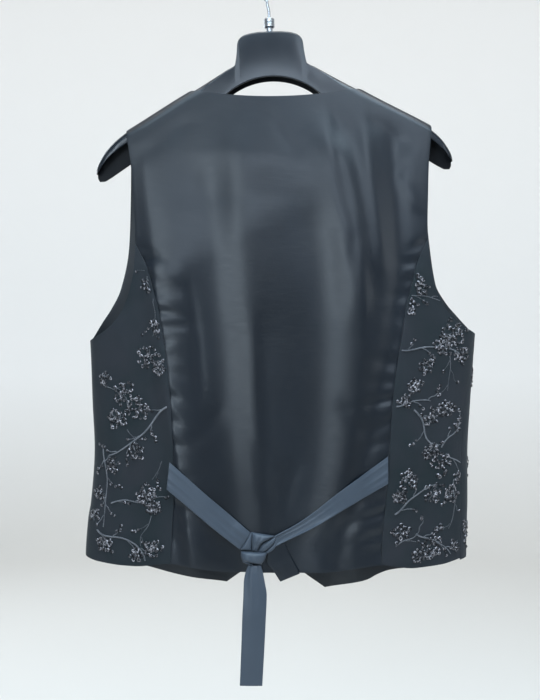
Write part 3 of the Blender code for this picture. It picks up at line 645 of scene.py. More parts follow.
def front_share(half_width, height):
    """The share on the front. A half width below 0 lies past the middle."""
    return share_at(math.pi - np.arcsin(np.minimum(half_width / RING["half_width"](height), 1.0)))


def shoulder_line(x):
    """The height of the shoulder line, blended to one curve near the middle."""
    out = np.abs(x)
    out = np.where(out < NECK_ROUND, out * out / (2 * NECK_ROUND) + NECK_ROUND / 2, out)
    return SHOULDER_APEX - SHOULDER_PITCH * out


def arm_forward(x):
    return ARM_FORWARD * (x / HANGER_HALF) ** 2


def fold_out(face, x, height):
    """How far the main folds push the cloth out here."""
    total = np.zeros(np.shape(x))
    for fold, path in FOLD_PATHS[face]:
        fade = ease((fold.top - height) / FOLD_FADE) * ease((height - fold.bottom) / FOLD_FADE + 1)
        across = x - path(height)
        total += fold.out * fade * bell(across, np.where(across < 0, fold.left, fold.right))
    return total


def surface(share, height):
    """Points of the upright garment."""
    share, height = np.broadcast_arrays(np.asarray(share, float), np.asarray(height, float))
    turn = turn_at(share)
    x = np.where(share < 0, -1.0, 1.0) * RING["half_width"](height) * np.sin(turn)
    at_back = turn < math.pi / 2
    below = np.maximum(shoulder_line(x) - height, 0.0)
    arm = STATION["half_depth"](np.abs(x)) + CLOTH + ARM_ROOM
    rounded = arm * np.sqrt(1 - (1 - np.minimum(below / OVER_ARM_DROP, 1.0)) ** 2)
    free = np.where(at_back, RING["back"](height), RING["front"](height)) * np.abs(turned_depth(turn))
    hang = ease(below / SETTLE_DROP)
    folds = np.where(at_back, fold_out("back", x, height), fold_out("front", x, height))
    swell = SWELL * (1 - np.exp(-below / SWELL_DROP)) * (1 - ease(below / SWELL_GONE))
    depth = rounded + (free - rounded) * hang + swell
    depth = depth + folds * ease(below / FOLD_FADE) * np.minimum(np.abs(np.cos(turn)) * 2, 1.0)
    return np.stack([x, np.where(at_back, -depth, depth) + arm_forward(x) * (1 - hang), height], axis=-1)


def facing(share, height, step=0.4):
    """Outward directions, from steps along the shoulder's slope and down the cloth."""
    turn, sign = turn_at(share), np.where(np.asarray(share) < 0, -1.0, 1.0)
    reach = step / RING["half_width"](height)
    here = surface(share, height)
    places = []
    for side in (-1, 1):
        near = share_at(np.maximum(turn + side * reach, 0.0)) * sign
        drop = shoulder_line(here[..., 0]) - shoulder_line(surface(near, height)[..., 0])
        places.append(surface(near, height - drop))
    along = (places[1] - places[0]) * sign[..., None]
    outward = np.cross(along, here - surface(share, height - step))
    return unit(outward)


def settle(point):
    """Leans the upright garment as it hangs, and changes to metres."""
    x, y, z = np.moveaxis(np.asarray(point, float), -1, 0)
    return np.stack([x + RING["shift"](z), y, z + RING["lean"](z) * x], axis=-1) * MM


def cloth(share, height, out=0.0):
    """Points of the hanging garment, moved out from its surface."""
    point = surface(share, height)
    below = shoulder_line(point[..., 0]) - height
    point = point + facing(share, height) * np.broadcast_to(out, np.shape(share))[..., None]
    seam = arm_forward(point[..., 0])
    y = point[..., 1]
    parted = np.where(
        turn_at(share) < math.pi / 2, np.minimum(y, seam - SEAM_GAP / 2), np.maximum(y, seam + SEAM_GAP / 2)
    )
    point[..., 1] = np.where(below < 2 * CLOTH, parted, y)
    return settle(point)


print("half girth, mm:", round(HALF_GIRTH))

# %% [markdown]
# ## Creases and puckers
#
# The main folds are near the solids'. Finer ones are laid on top as soft troughs and ridges, each a listed
# line with its own depth, width and bow. Along the princess seams the slippery satin was eased into a longer
# edge, so it puckers: short troughs run inwards from the seam, uneven in length and spacing. Under the belt
# nothing may stand proud, since the belt lies there.

# %% Tables of creases
Crease = namedtuple("Crease", "out width x_start z_start x_end z_end bow")
CREASES = {
    "back": (
        Crease(1.5, 8, 142, -250, 170, -312, 4),
        Crease(-1.8, 13, 98, -180, 166, -236, -5),
        Crease(-1.6, 15, -96, -176, -176, -246, 6),
        Crease(-0.8, 10, -14, -172, 34, -250, 4),
        Crease(-1.4, 7, -116, -350, -92, -560, -3),
        Crease(-0.8, 11, -122, -585, -66, -520, 8),
        Crease(-0.8, 11, 120, -580, 66, -515, -8),
        Crease(-1, 9, -20, -660, -34, -570, 4),
        Crease(-1, 9, 4, -672, 24, -590, -4),
        Crease(-1.3, 10, 44, -722, 92, -662, -5),
        Crease(-1.1, 10, -52, -724, -98, -676, 5),
        Crease(-0.9, 11, -134, -618, -224, -648, 5),
        Crease(0.8, 10, -136, -592, -222, -560, -6),
        Crease(-0.9, 11, 134, -612, 222, -650, -5),
        Crease(0.8, 10, 136, -588, 218, -566, 6),
        Crease(-1.2, 9, -160, -392, -222, -462, 8),
        Crease(-1.1, 9, 160, -392, 220, -466, -8),
        Crease(0.7, 10, -176, -500, -212, -420, 5),
        Crease(0.7, 10, 178, -508, 214, -424, -5),
    ),
    "front": (
        Crease(-1.2, 9, 176, -250, 118, -330, -8),
        Crease(-1.1, 9, -176, -256, -122, -350, 8),
        Crease(-1.2, 9, 218, -450, 132, -410, 7),
        Crease(-1.1, 9, -218, -450, -140, -404, -7),
        Crease(-0.9, 8, 28, -448, 96, -486, 5),
        Crease(-0.8, 8, -20, -450, -88, -474, -5),
        Crease(-0.8, 8, 26, -566, 104, -548, -5),
        Crease(-0.8, 8, -20, -626, -94, -600, 6),
        Crease(-0.9, 8, 24, -684, 92, -640, 4),
        Crease(0.9, 10, 60, -230, 84, -330, 4),
        Crease(0.9, 10, -64, -240, -82, -345, -4),
    ),
}
PUCKER_STEP, PUCKER_DEPTH, PUCKER_WIDTH, PUCKER_REACH = 21.0, 2.7, 8.2, 26.0
GROOVE_DEPTH, GROOVE_WIDTH = 0.15, 1.2
CREPE_SHARE = 0.35  # how much of a pucker's depth and reach is left on the crepe side
PUCKERS_FROM, PUCKERS_TO, PUCKER_SEEDS = JOIN - 4.0, HEM + 14, {-1: 11, 1: 23}
BELT_LINES = (
    ((-132.0, -615.0), (-37.0, -694.0)), ((126.0, -610.0), (50.0, -656.0)), ((50.0, -656.0), (0.0, -694.0)),
)
BELT_HALF, UNDER_BELT, BELT_SLOPE = 22.0, 0.1, 0.15
RELIEF_FROM, RELIEF_BLEND, FAR_FROM_SEAM = 14.0, 40.0, 99.0


def pucker_row(seed):
    """Troughs down one princess seam: height, depth, width, reach and slope of each."""
    chance = np.random.default_rng(seed)
    height, rows = PUCKERS_FROM, []
    while height > PUCKERS_TO:
        depth = PUCKER_DEPTH * chance.uniform(0.35, 1.0)
        width = PUCKER_WIDTH * chance.uniform(0.7, 1.3)
        reach = PUCKER_REACH * chance.uniform(0.45, 1.3)
        rows.append((height, depth, width, reach, chance.uniform(-0.5, 0.15)))
        height -= PUCKER_STEP * chance.uniform(0.65, 1.4)
    return rows


PUCKERS = {side: pucker_row(seed) for side, seed in PUCKER_SEEDS.items()}
print("creases:", count_rows(CREASES), "puckers:", count_rows(PUCKERS))

# %% [markdown]
# ## From tables to relief
#
# The relief is one number for each point: how far the cloth stands out from its plain form
# there. It fades out near the shoulders, where the cloth lies tight on the hanger, and it dips
# into a fine groove along each sewn seam.

# %% Relief of the cloth
def crease_out(crease, x, height):
    run, fall = crease.x_end - crease.x_start, crease.z_end - crease.z_start
    length = math.hypot(run, fall)
    along = ((x - crease.x_start) * run + (height - crease.z_start) * fall) / length**2
    across = ((x - crease.x_start) * fall - (height - crease.z_start) * run) / length
    across = across - crease.bow * 4 * along * (1 - along)
    return crease.out * ease(along * 3) * ease((1 - along) * 3) * bell(across, crease.width)


def pucker_out(x, height):
    """Strong on the satin side of the seam, faint on the crepe side."""
    inwards = SEAM(height) - np.abs(x)
    total = np.zeros(np.shape(x))
    for side, rows in PUCKERS.items():
        on_side = np.sign(x) == side
        for middle, depth, width, reach, slope in rows:
            far = np.where(inwards >= 0, inwards / reach, -inwards / (CREPE_SHARE * reach))
            trough = bell(height - middle - slope * np.abs(inwards), width) * bell(far, 1.0)
            total -= np.where(on_side, np.where(inwards >= 0, depth, CREPE_SHARE * depth) * trough, 0.0)
    return total


def distance_to(line, x, height):
    (x0, z0), (x1, z1) = line
    run, fall = x1 - x0, z1 - z0
    along = np.clip(((x - x0) * run + (height - z0) * fall) / (run**2 + fall**2), 0, 1)
    return np.hypot(x - x0 - along * run, height - z0 - along * fall)


def relief(face, x, height):
    """How far the cloth stands out from its plain form, for arrays of places on one face."""
    x, height = np.broadcast_arrays(np.asarray(x, float), np.asarray(height, float))
    out = sum(crease_out(crease, x, height) for crease in CREASES[face])
    if face == "back":
        out = out + pucker_out(x, height)
        from_seam = np.where(height < JOIN, np.abs(np.abs(x) - SEAM(height)), FAR_FROM_SEAM)
        belt = np.min([distance_to(line, x, height) for line in BELT_LINES], axis=0)
        out = np.minimum(out, UNDER_BELT + np.maximum(belt - BELT_HALF, 0.0) * BELT_SLOPE)
        out = out - GROOVE_DEPTH * bell(from_seam, GROOVE_WIDTH)
    below = shoulder_line(x) - height
    return out * ease((below - RELIEF_FROM) / RELIEF_BLEND)


print("relief at the back's middle, mm:", round(float(relief("back", 0.0, -500.0)), 2))

# %% [markdown]
# ## Cutting the panels
#
# A panel is a grid of places: shares across and heights down. The columns follow the panel's own
# edges, so its outline is exact, and the rows follow the hem. This is how a pattern cutter would
# draw it too: the edges first, then the cloth between them.

# %% Grids of the panels
HALF_GAP_SHARE = SEAM_GAP / 2 / HALF_GIRTH
SHOULDER_COLUMNS, NECK_COLUMNS, BACK_ROWS, BACK_TOP_ROWS, BACK_CROWDING = 34, 90, 168, 88, 1.7
SIDE_COLUMNS, SIDE_ROWS, SIDE_TOP_ROWS, SIDE_CROWDING = 44, 108, 52, 1.4
FRONT_COLUMNS, POINT_COLUMNS, FRONT_ROWS, FRONT_TOP_ROWS, FRONT_CROWDING = 64, 27, 92, 118, 1.6


def hemmed(level, hem_height):
    """Moves a level near the hem to follow the hem's own curve."""
    return level + (hem_height - HEM) * (1 - ease((level - HEM) / HEM_FADE))


def side_share(side, height):
    """Where the side seam runs: at the armhole's corner, then a little round to the back."""
    turned = (90.0 - SIDE_SEAM_TURN[side]) * ease((CORNER - height) / SIDE_SEAM_SETTLE)
    return share_at(np.radians(90.0 - turned))


def top_of_back(x):
    corner = float(shoulder_line(NECK_HALF))
    neckline = corner - NECK_SCOOP * (1 - (x / NECK_HALF) ** 2)
    return np.where(np.abs(x) < NECK_HALF, neckline, shoulder_line(x))


def back_grid():
    corner = NECK_HALF / TIP_HALF
    shoulder = np.linspace(-1, -corner, SHOULDER_COLUMNS)
    neckline = np.linspace(-corner, corner, NECK_COLUMNS)[1:-1]
    columns = np.concatenate([shoulder, neckline, -shoulder[::-1]])
    half = np.abs(columns)
    levels = np.linspace(HEM, JOIN, BACK_ROWS)[:-1, None]
    low = hemmed(levels, BACK_HEM_AT(half * SEAM(levels)))
    seam_edge = back_share(SEAM(low), low) - HALF_GAP_SHARE
    low_share = np.minimum(back_share(half * SEAM(low), low), seam_edge)
    rises = (1 - (1 - np.linspace(0, 1, BACK_TOP_ROWS)) ** BACK_CROWDING)[:, None]
    high = JOIN + (top_of_back(columns * TIP_HALF) - JOIN) * rises
    high_share = back_share(half * BACK_EDGE(high), high)
    return np.concatenate([low_share, high_share]) * np.sign(columns), np.concatenate([low, high])


def side_back_grid(side, sign):
    across = np.linspace(0, 1, SIDE_COLUMNS)
    rises = np.linspace(0, 1, SIDE_TOP_ROWS)[1:] ** SIDE_CROWDING
    low = np.linspace(HEM, CORNER, SIDE_ROWS)
    levels = np.concatenate([low, CORNER + (SIDE_TOP - CORNER) * rises])[:, None]
    hem = BACK_HEM_AT(SEAM(levels) * (1 - across) + RING["half_width"](levels) * across)
    height = hemmed(levels, hem)
    first = back_share(SEAM(height), height) + HALF_GAP_SHARE
    at_side = side_share(side, height) - HALF_GAP_SHARE
    last = np.where(height > CORNER, back_share(BACK_EDGE(height), height), at_side)
    return sign * (first + (last - first) * across), height


def front_hem(side, x):
    """A straight cutaway up to the point, then the hem's curve to the side."""
    first, point = FRONT_HEM[side][:2]
    along = (x - first.half_width) / (point.half_width - first.half_width)
    cutaway = first.height + (point.height - first.height) * along
    return np.where(x < POINT_HALF, cutaway, FRONT_HEM_AT[side](x))


def front_grid(side, sign):
    levels = np.linspace(HEM, CORNER, FRONT_ROWS)[:, None]
    seam, edge = side_share(side, levels) + HALF_GAP_SHARE, front_share(-OVERLAP, levels)
    point = front_share(POINT_HALF, levels)
    low_share = np.concatenate(
        [
            seam + (point - seam) * np.linspace(0, 1, FRONT_COLUMNS)[:-1],
            point + (edge - point) * np.linspace(0, 1, POINT_COLUMNS),
        ],
        axis=1,
    )
    x = RING["half_width"](levels) * np.sin(turn_at(low_share))
    low = hemmed(levels, front_hem(side, x))
    across = (low_share[-1] - low_share[-1, 0]) / (low_share[-1, -1] - low_share[-1, 0])
    rises = (1 - (1 - np.linspace(0, 1, FRONT_TOP_ROWS)[1:]) ** FRONT_CROWDING)[:, None]
    outer_z = CORNER + (float(shoulder_line(TIP_HALF)) - CORNER) * rises
    inner_z = CORNER + (float(shoulder_line(NECK_HALF)) - CORNER) * rises
    outer_x, inner_x = FRONT_EDGE[side](outer_z), V_NECK(inner_z)
    high = outer_z + (inner_z - outer_z) * across
    first, last = front_share(outer_x, outer_z), front_share(inner_x, inner_z)
    by_girth = first + (last - first) * across
    by_width = front_share(outer_x + (inner_x - outer_x) * across, high)
    high_share = by_girth + (by_width - by_girth) * ease(rises * 3)
    return sign * np.concatenate([low_share, high_share]), np.concatenate([low, high])


def overlap_lift(x):
    """Lifts the right front clear of the left where they button over each other."""
    return OVERLAP_LIFT * ease(1 - (x - LIFTED_WITHIN) / LIFT_BLEND)


print("rows and columns of the back:", back_grid()[0].shape)

# %% [markdown]
# ## Sewing a shell
#
# Each panel becomes a thin closed shell: the outer cloth, the lining inside it, and a turned
# edge between them. One grid of points makes the outside, the same grid moved inwards makes the
# inside, and a third row along the edges rounds them off. The lining is a second material on the
# inner faces. The cloth map is laid along the cloth, in metres.

# %% Shells
EDGE_TURN, EDGE_BULGE, SHARP_CLOTH = 0.2, 0.13, 52.0


def rim_of(rows, columns):
    """Places round a grid, in order."""
    rim = [(0, j) for j in range(columns)] + [(i, columns - 1) for i in range(1, rows)]
    rim += [(rows - 1, j) for j in range(columns - 2, -1, -1)] + [(i, 0) for i in range(rows - 2, 0, -1)]
    return np.array(rim)


def shell(name, outer, inner, cloth_map, finishes, flip=False):
    """A closed shell between two grids of points, with a rounded edge. Returns its object."""
    rows, columns = outer.shape[:2]
    rim = rim_of(rows, columns)
    inward = rim.copy()
    inward[:, 0] = np.clip(rim[:, 0], 1, rows - 2)
    inward[:, 1] = np.clip(rim[:, 1], 1, columns - 2)
    middle = (outer[rim[:, 0], rim[:, 1]] + inner[rim[:, 0], rim[:, 1]]) / 2
    away = middle - (outer[inward[:, 0], inward[:, 1]] + inner[inward[:, 0], inward[:, 1]]) / 2
    middle = middle + unit(away) * EDGE_BULGE * MM
    points = np.concatenate([outer.reshape(-1, 3), inner.reshape(-1, 3), middle])
    numbers = np.arange(rows * columns).reshape(rows, columns)
    a, b = numbers[:-1, :-1].ravel(), numbers[:-1, 1:].ravel()
    c, d = numbers[1:, 1:].ravel(), numbers[1:, :-1].ravel()
    shift = rows * columns
    first = numbers[rim[:, 0], rim[:, 1]]
    turned = np.arange(len(rim)) + 2 * shift
    after, turned_after = np.roll(first, -1), np.roll(turned, -1)
    faces = np.concatenate([
        np.stack([a, b, c, d], axis=1),
        np.stack([d, c, b, a], axis=1) + shift,
        np.stack([after, first, turned, turned_after], axis=1),
        np.stack([turned_after, turned, first + shift, after + shift], axis=1),
    ])
    if flip:
        faces = faces[:, ::-1]
    mesh = bpy.data.meshes.new(name)
    mesh.from_pydata(points.tolist(), [], faces.tolist())
    spots = cloth_map.reshape(-1, 2)
    spots = np.concatenate([spots, spots, spots[first]])
    corners = np.zeros(len(mesh.loops), dtype=np.int32)
    mesh.loops.foreach_get("vertex_index", corners)
    mesh.uv_layers.new(name="cloth_map").data.foreach_set("uv", spots[corners].ravel().astype(np.float32))
    inside = np.zeros(len(faces), dtype=np.int32)
    inside[len(a): 2 * len(a)] = 1
    for finish in finishes:
        mesh.materials.append(finish)
    mesh.polygons.foreach_set("material_index", inside)
    mesh.shade_smooth()
    mesh.set_sharp_from_angle(angle=math.radians(SHARP_CLOTH))
    return add_object(name, mesh)


def turned_edge(shape):
    """How far the cloth turns in at the edges of a grid, and 0 elsewhere."""
    edge = np.zeros(shape)
    edge[[0, -1], :] = EDGE_TURN
    edge[:, [0, -1]] = EDGE_TURN
    return edge


def flat_area(outer):
    """The area of a grid of points, in square metres."""
    right, up = np.diff(outer, axis=1)[:-1], np.diff(outer, axis=0)[:, :-1]
    return float(np.linalg.norm(np.cross(right, up), axis=-1).sum())


def flat_size(outer):
    """The furthest way round and the furthest way down a grid's cloth, in metres."""
    right, up = np.diff(outer, axis=1), np.diff(outer, axis=0)
    around = np.hypot(right[..., 0], right[..., 1]).sum(axis=1)
    down = np.hypot(up[..., 1], up[..., 2]).sum(axis=0)
    return float(around.max()), float(down.max())


def sew_panel(node, face, grid, sign, finish, lifted=False):
    """One panel of the garment, in the place of its node."""
    share, height = grid
    x = surface(share, height)[..., 0]
    out = relief(face, x, height) + (overlap_lift(x) if lifted else 0.0)
    edge = turned_edge(share.shape)
    outer, inner = cloth(share, height, out - edge), cloth(share, height, out - CLOTH + edge)
    cloth_map = np.stack([share * HALF_GIRTH, height], axis=-1) * MM
    piece = shell(f"{node}_cloth", outer, inner, cloth_map, (finish, LINING), flip=sign < 0)
    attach(piece, "root")
    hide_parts(node)
    cut, area = flat_size(outer), flat_area(outer)
    print(piece.name, "faces", len(piece.data.polygons), "cut", np.round(cut, 4), "area", round(area, 4))


print("shell helpers ready")

# %% [markdown]
# ## The five panels
#
# The back is satin. The side backs and the fronts are embroidered crepe. The back and the fronts hang from
# the shoulders, and the side backs hang from their seams. Each panel prints its cut: how far its cloth goes
# round and how far down, measured over its folds, and its flat area, because none of them is a rectangle.

# %% Sew the panels
sew_panel("back", "back", back_grid(), 1, SATIN)
for side, sign in (("left", -1), ("right", 1)):
    sew_panel(f"side_back_{side}", "back", side_back_grid(side, sign), sign, CREPE)
    sew_panel(f"front_{side}", "front", front_grid(side, sign), sign, CREPE, side == "right")

# %% [markdown]
# ## The half belt
#
# A half belt is two bands sewn into the princess seams and tied over the back to draw it in. A
# taut band lies on the ridges of the cloth and bridges its troughs, so its depth is the furthest
# that the cloth near it comes out. Each band is a fine grid between two edge curves, closed to a
# thin shell. Lengthwise tucks deepen towards the knot, where the band is gathered.

# %% Helpers for bands
Band = namedtuple("Band", "share upper_x upper_z lower_x lower_z")
Tuck = namedtuple("Tuck", "out width start across_first across_last")
TIE_REACH, PROBES, CUT_ROOM = 14.0, 5, 1.002


def resting_depth(x, height):
    """The depth at which a taut band clears the back's ridges near these places."""
    depths = []
    for dx in np.linspace(-TIE_REACH, TIE_REACH, PROBES):
        for dz in np.linspace(-TIE_REACH, TIE_REACH, PROBES):
            near = x + dx
            share = back_share(np.abs(near), height + dz) * np.sign(near)
            depths.append(surface(share, height + dz)[..., 1])
    return np.min(depths, axis=0)


def tucked(tucks, along, across):
    """How far lengthwise tucks lift a band, most at its far end."""
    total = np.zeros(np.broadcast_shapes(np.shape(along), np.shape(across)))
    for tuck in tucks:
        middle = tuck.across_first + (tuck.across_last - tuck.across_first) * along
        deep = ease((along - tuck.start) / (1 - tuck.start))
        total = total + tuck.out * deep * bell(across - middle, tuck.width)
    return total


def band(name, first, last, across, rise, finish):
    """A thin shell between two edges of (x, depth, height) rows. Returns it and its cut's sizes."""
    place = first[:, None] * (1 - across[:, None]) + last[:, None] * across[:, None]
    place[..., 1] -= rise
    edge = turned_edge(place.shape[:2])
    outer, inner = place.copy(), place.copy()
    outer[..., 1] += edge
    inner[..., 1] += BELT_CLOTH - edge
    middle, widths = (first + last) / 2, np.linalg.norm(last - first, axis=1)
    run = run_along(middle)
    cloth_map = np.stack([run[:, None] + 0 * across, widths[:, None] * (across - 0.5)], axis=-1) * MM
    flip = np.cross(last[0] - first[0], middle[-1] - middle[0])[1] > 0
    piece = shell(name, settle(outer), settle(inner), cloth_map, (finish, finish), flip)
    return piece, (float(widths.max()) * MM, float(run[-1]) * MM, flat_area(settle(outer)))


def declare_band(piece, node, sizes):
    """Puts a band in the place of its node and prints its cut, which tucks make a little larger."""
    width, length, area = sizes
    width = max(width, area / length * CUT_ROOM)
    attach(piece, "root")
    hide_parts(node)
    print(piece.name, "cut, mm:", round(width / MM, 1), "x", round(length / MM, 1), "area", round(area, 5))


print("band helpers ready")

# %% [markdown]
# ## The two ties
#
# The left tie runs smoothly into the knot. The right one is drawn harder: near the knot its two
# edges roll up and its middle sinks, which leaves two light lines with shade between them.

# %% The ties
TIES = {
    "tie_left": (
        Band(0, -131, -599, -133.5, -631.3),
        Band(0.5, -82, -642, -94, -663.5),
        Band(1, -31.6, -683.6, -43, -703.6),
    ),
    "tie_right": (
        Band(0, 125.5, -594, 126.5, -625.5),
        Band(0.45, 68, -636, 78, -654),
        Band(0.8, 21, -673.5, 40, -678),
        Band(1, -3.2, -687, -1.8, -699.8),
    ),
}
TIE_TUCKS = {
    "tie_left": (
        Tuck(0.9, 0.14, 0.30, 0.34, 0.28), Tuck(0.7, 0.11, 0.45, 0.72, 0.66),
        Tuck(0.4, 0.07, 0.0, 0.9, 0.93),
    ),
    "tie_right": (
        Tuck(1.9, 0.15, 0.35, 0.02, 0.05), Tuck(2.1, 0.13, 0.38, 0.99, 0.95),
        Tuck(0.5, 0.08, 0.15, 0.4, 0.42),
    ),
}
SEAM_TUCKS = (
    Tuck(0.5, 0.06, 0.55, 0.22, 0.2), Tuck(0.6, 0.07, 0.5, 0.55, 0.58), Tuck(0.4, 0.05, 0.6, 0.8, 0.84),
)

BAND_ROWS, BAND_COLUMNS = 84, 25
along, across = np.linspace(0, 1, BAND_ROWS), np.linspace(0, 1, BAND_COLUMNS)
for node, rows in TIES.items():
    edges, read = [], readers(rows)
    for edge in ("upper", "lower"):
        x, height = (read[f"{edge}_{axis}"](along) for axis in "xz")
        edges.append(np.stack([x, resting_depth(x, height) - SEAM_GAP - BELT_CLOTH, height], axis=-1))
    rise = tucked(TIE_TUCKS[node], along[:, None], across) + tucked(SEAM_TUCKS, 1 - along[:, None], across)
    piece, sizes = band(f"{node}_cloth", *edges, across, rise, BELT_SATIN_PAINTED_LIGHTER)
    declare_band(piece, node, sizes)

# %% [markdown]
# ## The free ends
#
# The long end hangs free and clear of the back, so it bulges where the knot squeezes it and
# waves a little further down. The short end lies flat behind it and points to the side.

# %% The free ends
Strip = namedtuple("Strip", "height left right stand_off bulge")
TAIL_LONG = (
    Strip(-721.4, -33, -18, 3.5, 1.6),
    Strip(-731, -36.4, -15.4, 4.5, 3),
    Strip(-741, -38, -13.4, 6, 2.6),
    Strip(-755, -38.4, -11.2, 8, 1.7),
    Strip(-780, -39.6, -12.2, 9.5, 1),
    Strip(-810, -40.6, -13.6, 9, 0.9),
    Strip(-861.5, -42.6, -16.4, 7.5, 0.5),
)
TAIL_CRIMPS = ((0.7, 0.3, 0.2, 0.09, 1.6), (0.5, 0.72, -0.15, 0.07, 2.2))
TAIL_ROWS, SHORT_ROWS = 96, 48
SHORT_TAIL = (
    ((-10.0, -703.0), (-10.2, -719.0), (-5.2, -725.6), (4.9, -741.3)),
    ((9.4, -695.6), (16.6, -710.4), (22.0, -720.6), (27.6, -731.2)),
)


def rail(points, steps):
    """Evenly spaced (x, height) places along a smooth line through the points."""
    points = np.array(points, float)
    run = run_along(points)
    places = np.linspace(0, run[-1], steps)
    return [smooth(list(zip(run, points[:, axis])))(places) for axis in (0, 1)]


heights = np.linspace(TAIL_LONG[0].height, TAIL_LONG[-1].height, TAIL_ROWS)
tail = {name: read(heights) for name, read in readers(TAIL_LONG).items()}
hanging = resting_depth(-25.0, -712.0) - tail["stand_off"] - BELT_CLOTH
edges = [np.stack([tail[side], hanging, heights], axis=-1) for side in ("left", "right")]
down = np.linspace(0, 1, TAIL_ROWS)[:, None]
bulge = tail["bulge"][:, None] * np.sin(math.pi * across) ** 1.3
crimp = sum(
    out * bell(across - at - slope * down, width) * ease(1 - down * fade)
    for out, at, slope, width, fade in TAIL_CRIMPS
)
piece, sizes = band("tail_long_cloth", *edges, across, bulge + crimp, BELT_SATIN_PAINTED_LIGHTER)
declare_band(piece, "tail_long", sizes)

edges = []
for points in SHORT_TAIL:
    x, height = rail(points, SHORT_ROWS)
    lying = resting_depth(x, np.maximum(height, HEM)) - SEAM_GAP - BELT_CLOTH
    edges.append(np.stack([x, lying, height], axis=-1))
down = np.linspace(0, 1, SHORT_ROWS)[:, None]
rise = 0.35 * bell(across - 0.3 - 0.2 * down, 0.3)
piece, sizes = band("tail_short_cloth", *edges, across, rise * ease(1.3 - down), SATIN)
declare_band(piece, "tail_short", sizes)

# %% [markdown]
# ## The knot
#
# A knot in soft cloth is a few folds pressed together: the left tie turns under at a sharp
# crease, a loop crosses to the right and folds back on itself, and a wrap goes round below them.
# Each fold is a small domed band between two given edges. The dark lines of a knot are the steep sides where
# one fold meets the next, so the domes have round shoulders and tight edges.

# %% The knot
KnotFold = namedtuple("KnotFold", "node rise left right")
KNOT_FOLDS = (
    KnotFold("knot_loop", 3.4, ((-31.2, -683.3), (-36.6, -693.5), (-42.4, -703.6)),
             ((-29.8, -682.6), (-29.4, -693.0), (-29.4, -704.4))),
    KnotFold("knot_loop", 6.6, ((-29.9, -682.8), (-29.3, -693.0), (-28.8, -705.0)),
             ((-2.2, -687.2), (-10.5, -691.3), (-18.4, -696.6), (-22.6, -705.6))),
    KnotFold("knot_loop", 5.2, ((-1.9, -687.9), (-9.9, -692.0), (-17.6, -697.2), (-22.0, -706.0)),
             ((-0.4, -688.9), (-3.0, -695.0), (-7.2, -699.8), (-15.2, -706.8))),
    KnotFold("knot_loop", 3.2, ((-1.2, -691.4), (-3.6, -696.4), (-7.6, -700.6), (-14.0, -707.0)),
             ((-0.2, -691.9), (-0.4, -697.4), (-2.4, -702.0), (-9.8, -707.6))),
    KnotFold("knot_wrap", 8.4, ((-41.8, -705.2), (-41.6, -711.0), (-39.9, -716.6)),
             ((-10.4, -705.9), (-12.6, -713.5), (-17.0, -721.0))),
    KnotFold("knot_wrap", 5.0, ((-40.4, -714.6), (-34.5, -717.2), (-27.6, -719.6)),
             ((-39.8, -718.0), (-34.0, -720.6), (-27.0, -722.2))),
)
KNOT_ROWS, KNOT_COLUMNS, KNOT_FINE, FULL_RISE_WIDTH = 30, 27, 180, 16.0
KNOT_STRIP, KNOT_SPARE = 0.032, 1.05
KNOT_CREASES = {1: (0.8, 0.42, 0.10), 4: (0.9, 0.36, 0.09)}  # a fold's trough: depth, across, width


def rounded_steps(count):
    """Shares from 0 to 1, close together at both ends."""
    return (1 - np.cos(np.linspace(0, math.pi, count))) / 2


def join(name, pieces):
    """One object that holds the meshes of several."""
    made = bmesh.new()
    for piece in pieces:
        made.from_mesh(piece.data)
    mesh = settled_mesh(name, made)
    for finish in pieces[0].data.materials:
        mesh.materials.append(finish)
    for piece in pieces:
        bpy.data.objects.remove(piece, do_unlink=True)
    return add_object(name, mesh)


knot_base = {
    "knot_loop": float(resting_depth(-17.0, -693.0)) - SEAM_GAP - BELT_CLOTH,
    "knot_wrap": float(resting_depth(-26.0, -712.0)) - SEAM_GAP - BELT_CLOTH,
}
folds = {"knot_loop": [], "knot_wrap": []}
down, over = rounded_steps(KNOT_ROWS)[:, None], rounded_steps(KNOT_COLUMNS)
for number, fold in enumerate(KNOT_FOLDS):
    edges = []
    for points in (fold.left, fold.right):
        x, height = rail(points, KNOT_FINE + 1)
        pick = np.round(down[:, 0] * KNOT_FINE).astype(int)
        edges.append(np.stack([x[pick], np.full(KNOT_ROWS, knot_base[fold.node]), height[pick]], axis=-1))
    width = np.linalg.norm(edges[1] - edges[0], axis=1)[:, None]
    dome = ((1 - np.abs(2 * down - 1) ** 4) * (1 - np.abs(2 * over - 1) ** 2.4)) ** 0.5
    rise = fold.rise * np.sqrt(np.minimum(width / FULL_RISE_WIDTH, 1.0)) * dome
    if number in KNOT_CREASES:
        deep, middle, wide = KNOT_CREASES[number]
        rise = rise - deep * dome * bell(over - middle - 0.2 * down, wide)
    folds[fold.node].append(band(f"fold_{number}", *edges, over, rise, BELT_SATIN_PAINTED_LIGHTER))
for node, made in folds.items():
    area = sum(sizes[2] for _, sizes in made)
    piece = join(f"{node}_cloth", [piece for piece, _ in made])
    declare_band(piece, node, (KNOT_STRIP, area / KNOT_STRIP * KNOT_SPARE, area))

# %% [markdown]
# ## The hanger
#
# The hanger is one moulding, so it is one loft: the T-shaped section is worked out at every few millimetres
# and joined to the next. Moulded edges are never sharp, so each corner of the section is rounded with a small
# arc before the loft, which keeps the shape clean where a bevel would have to cope with thin walls. One more
# point just above each lip keeps the shading of the tall side flat. Under the head the moulding is hollow, so
# that its edge stays thin. The inner faces get a second plastic that is duller and darker: the darker colour
# is painted shade for the hollow under the flange.

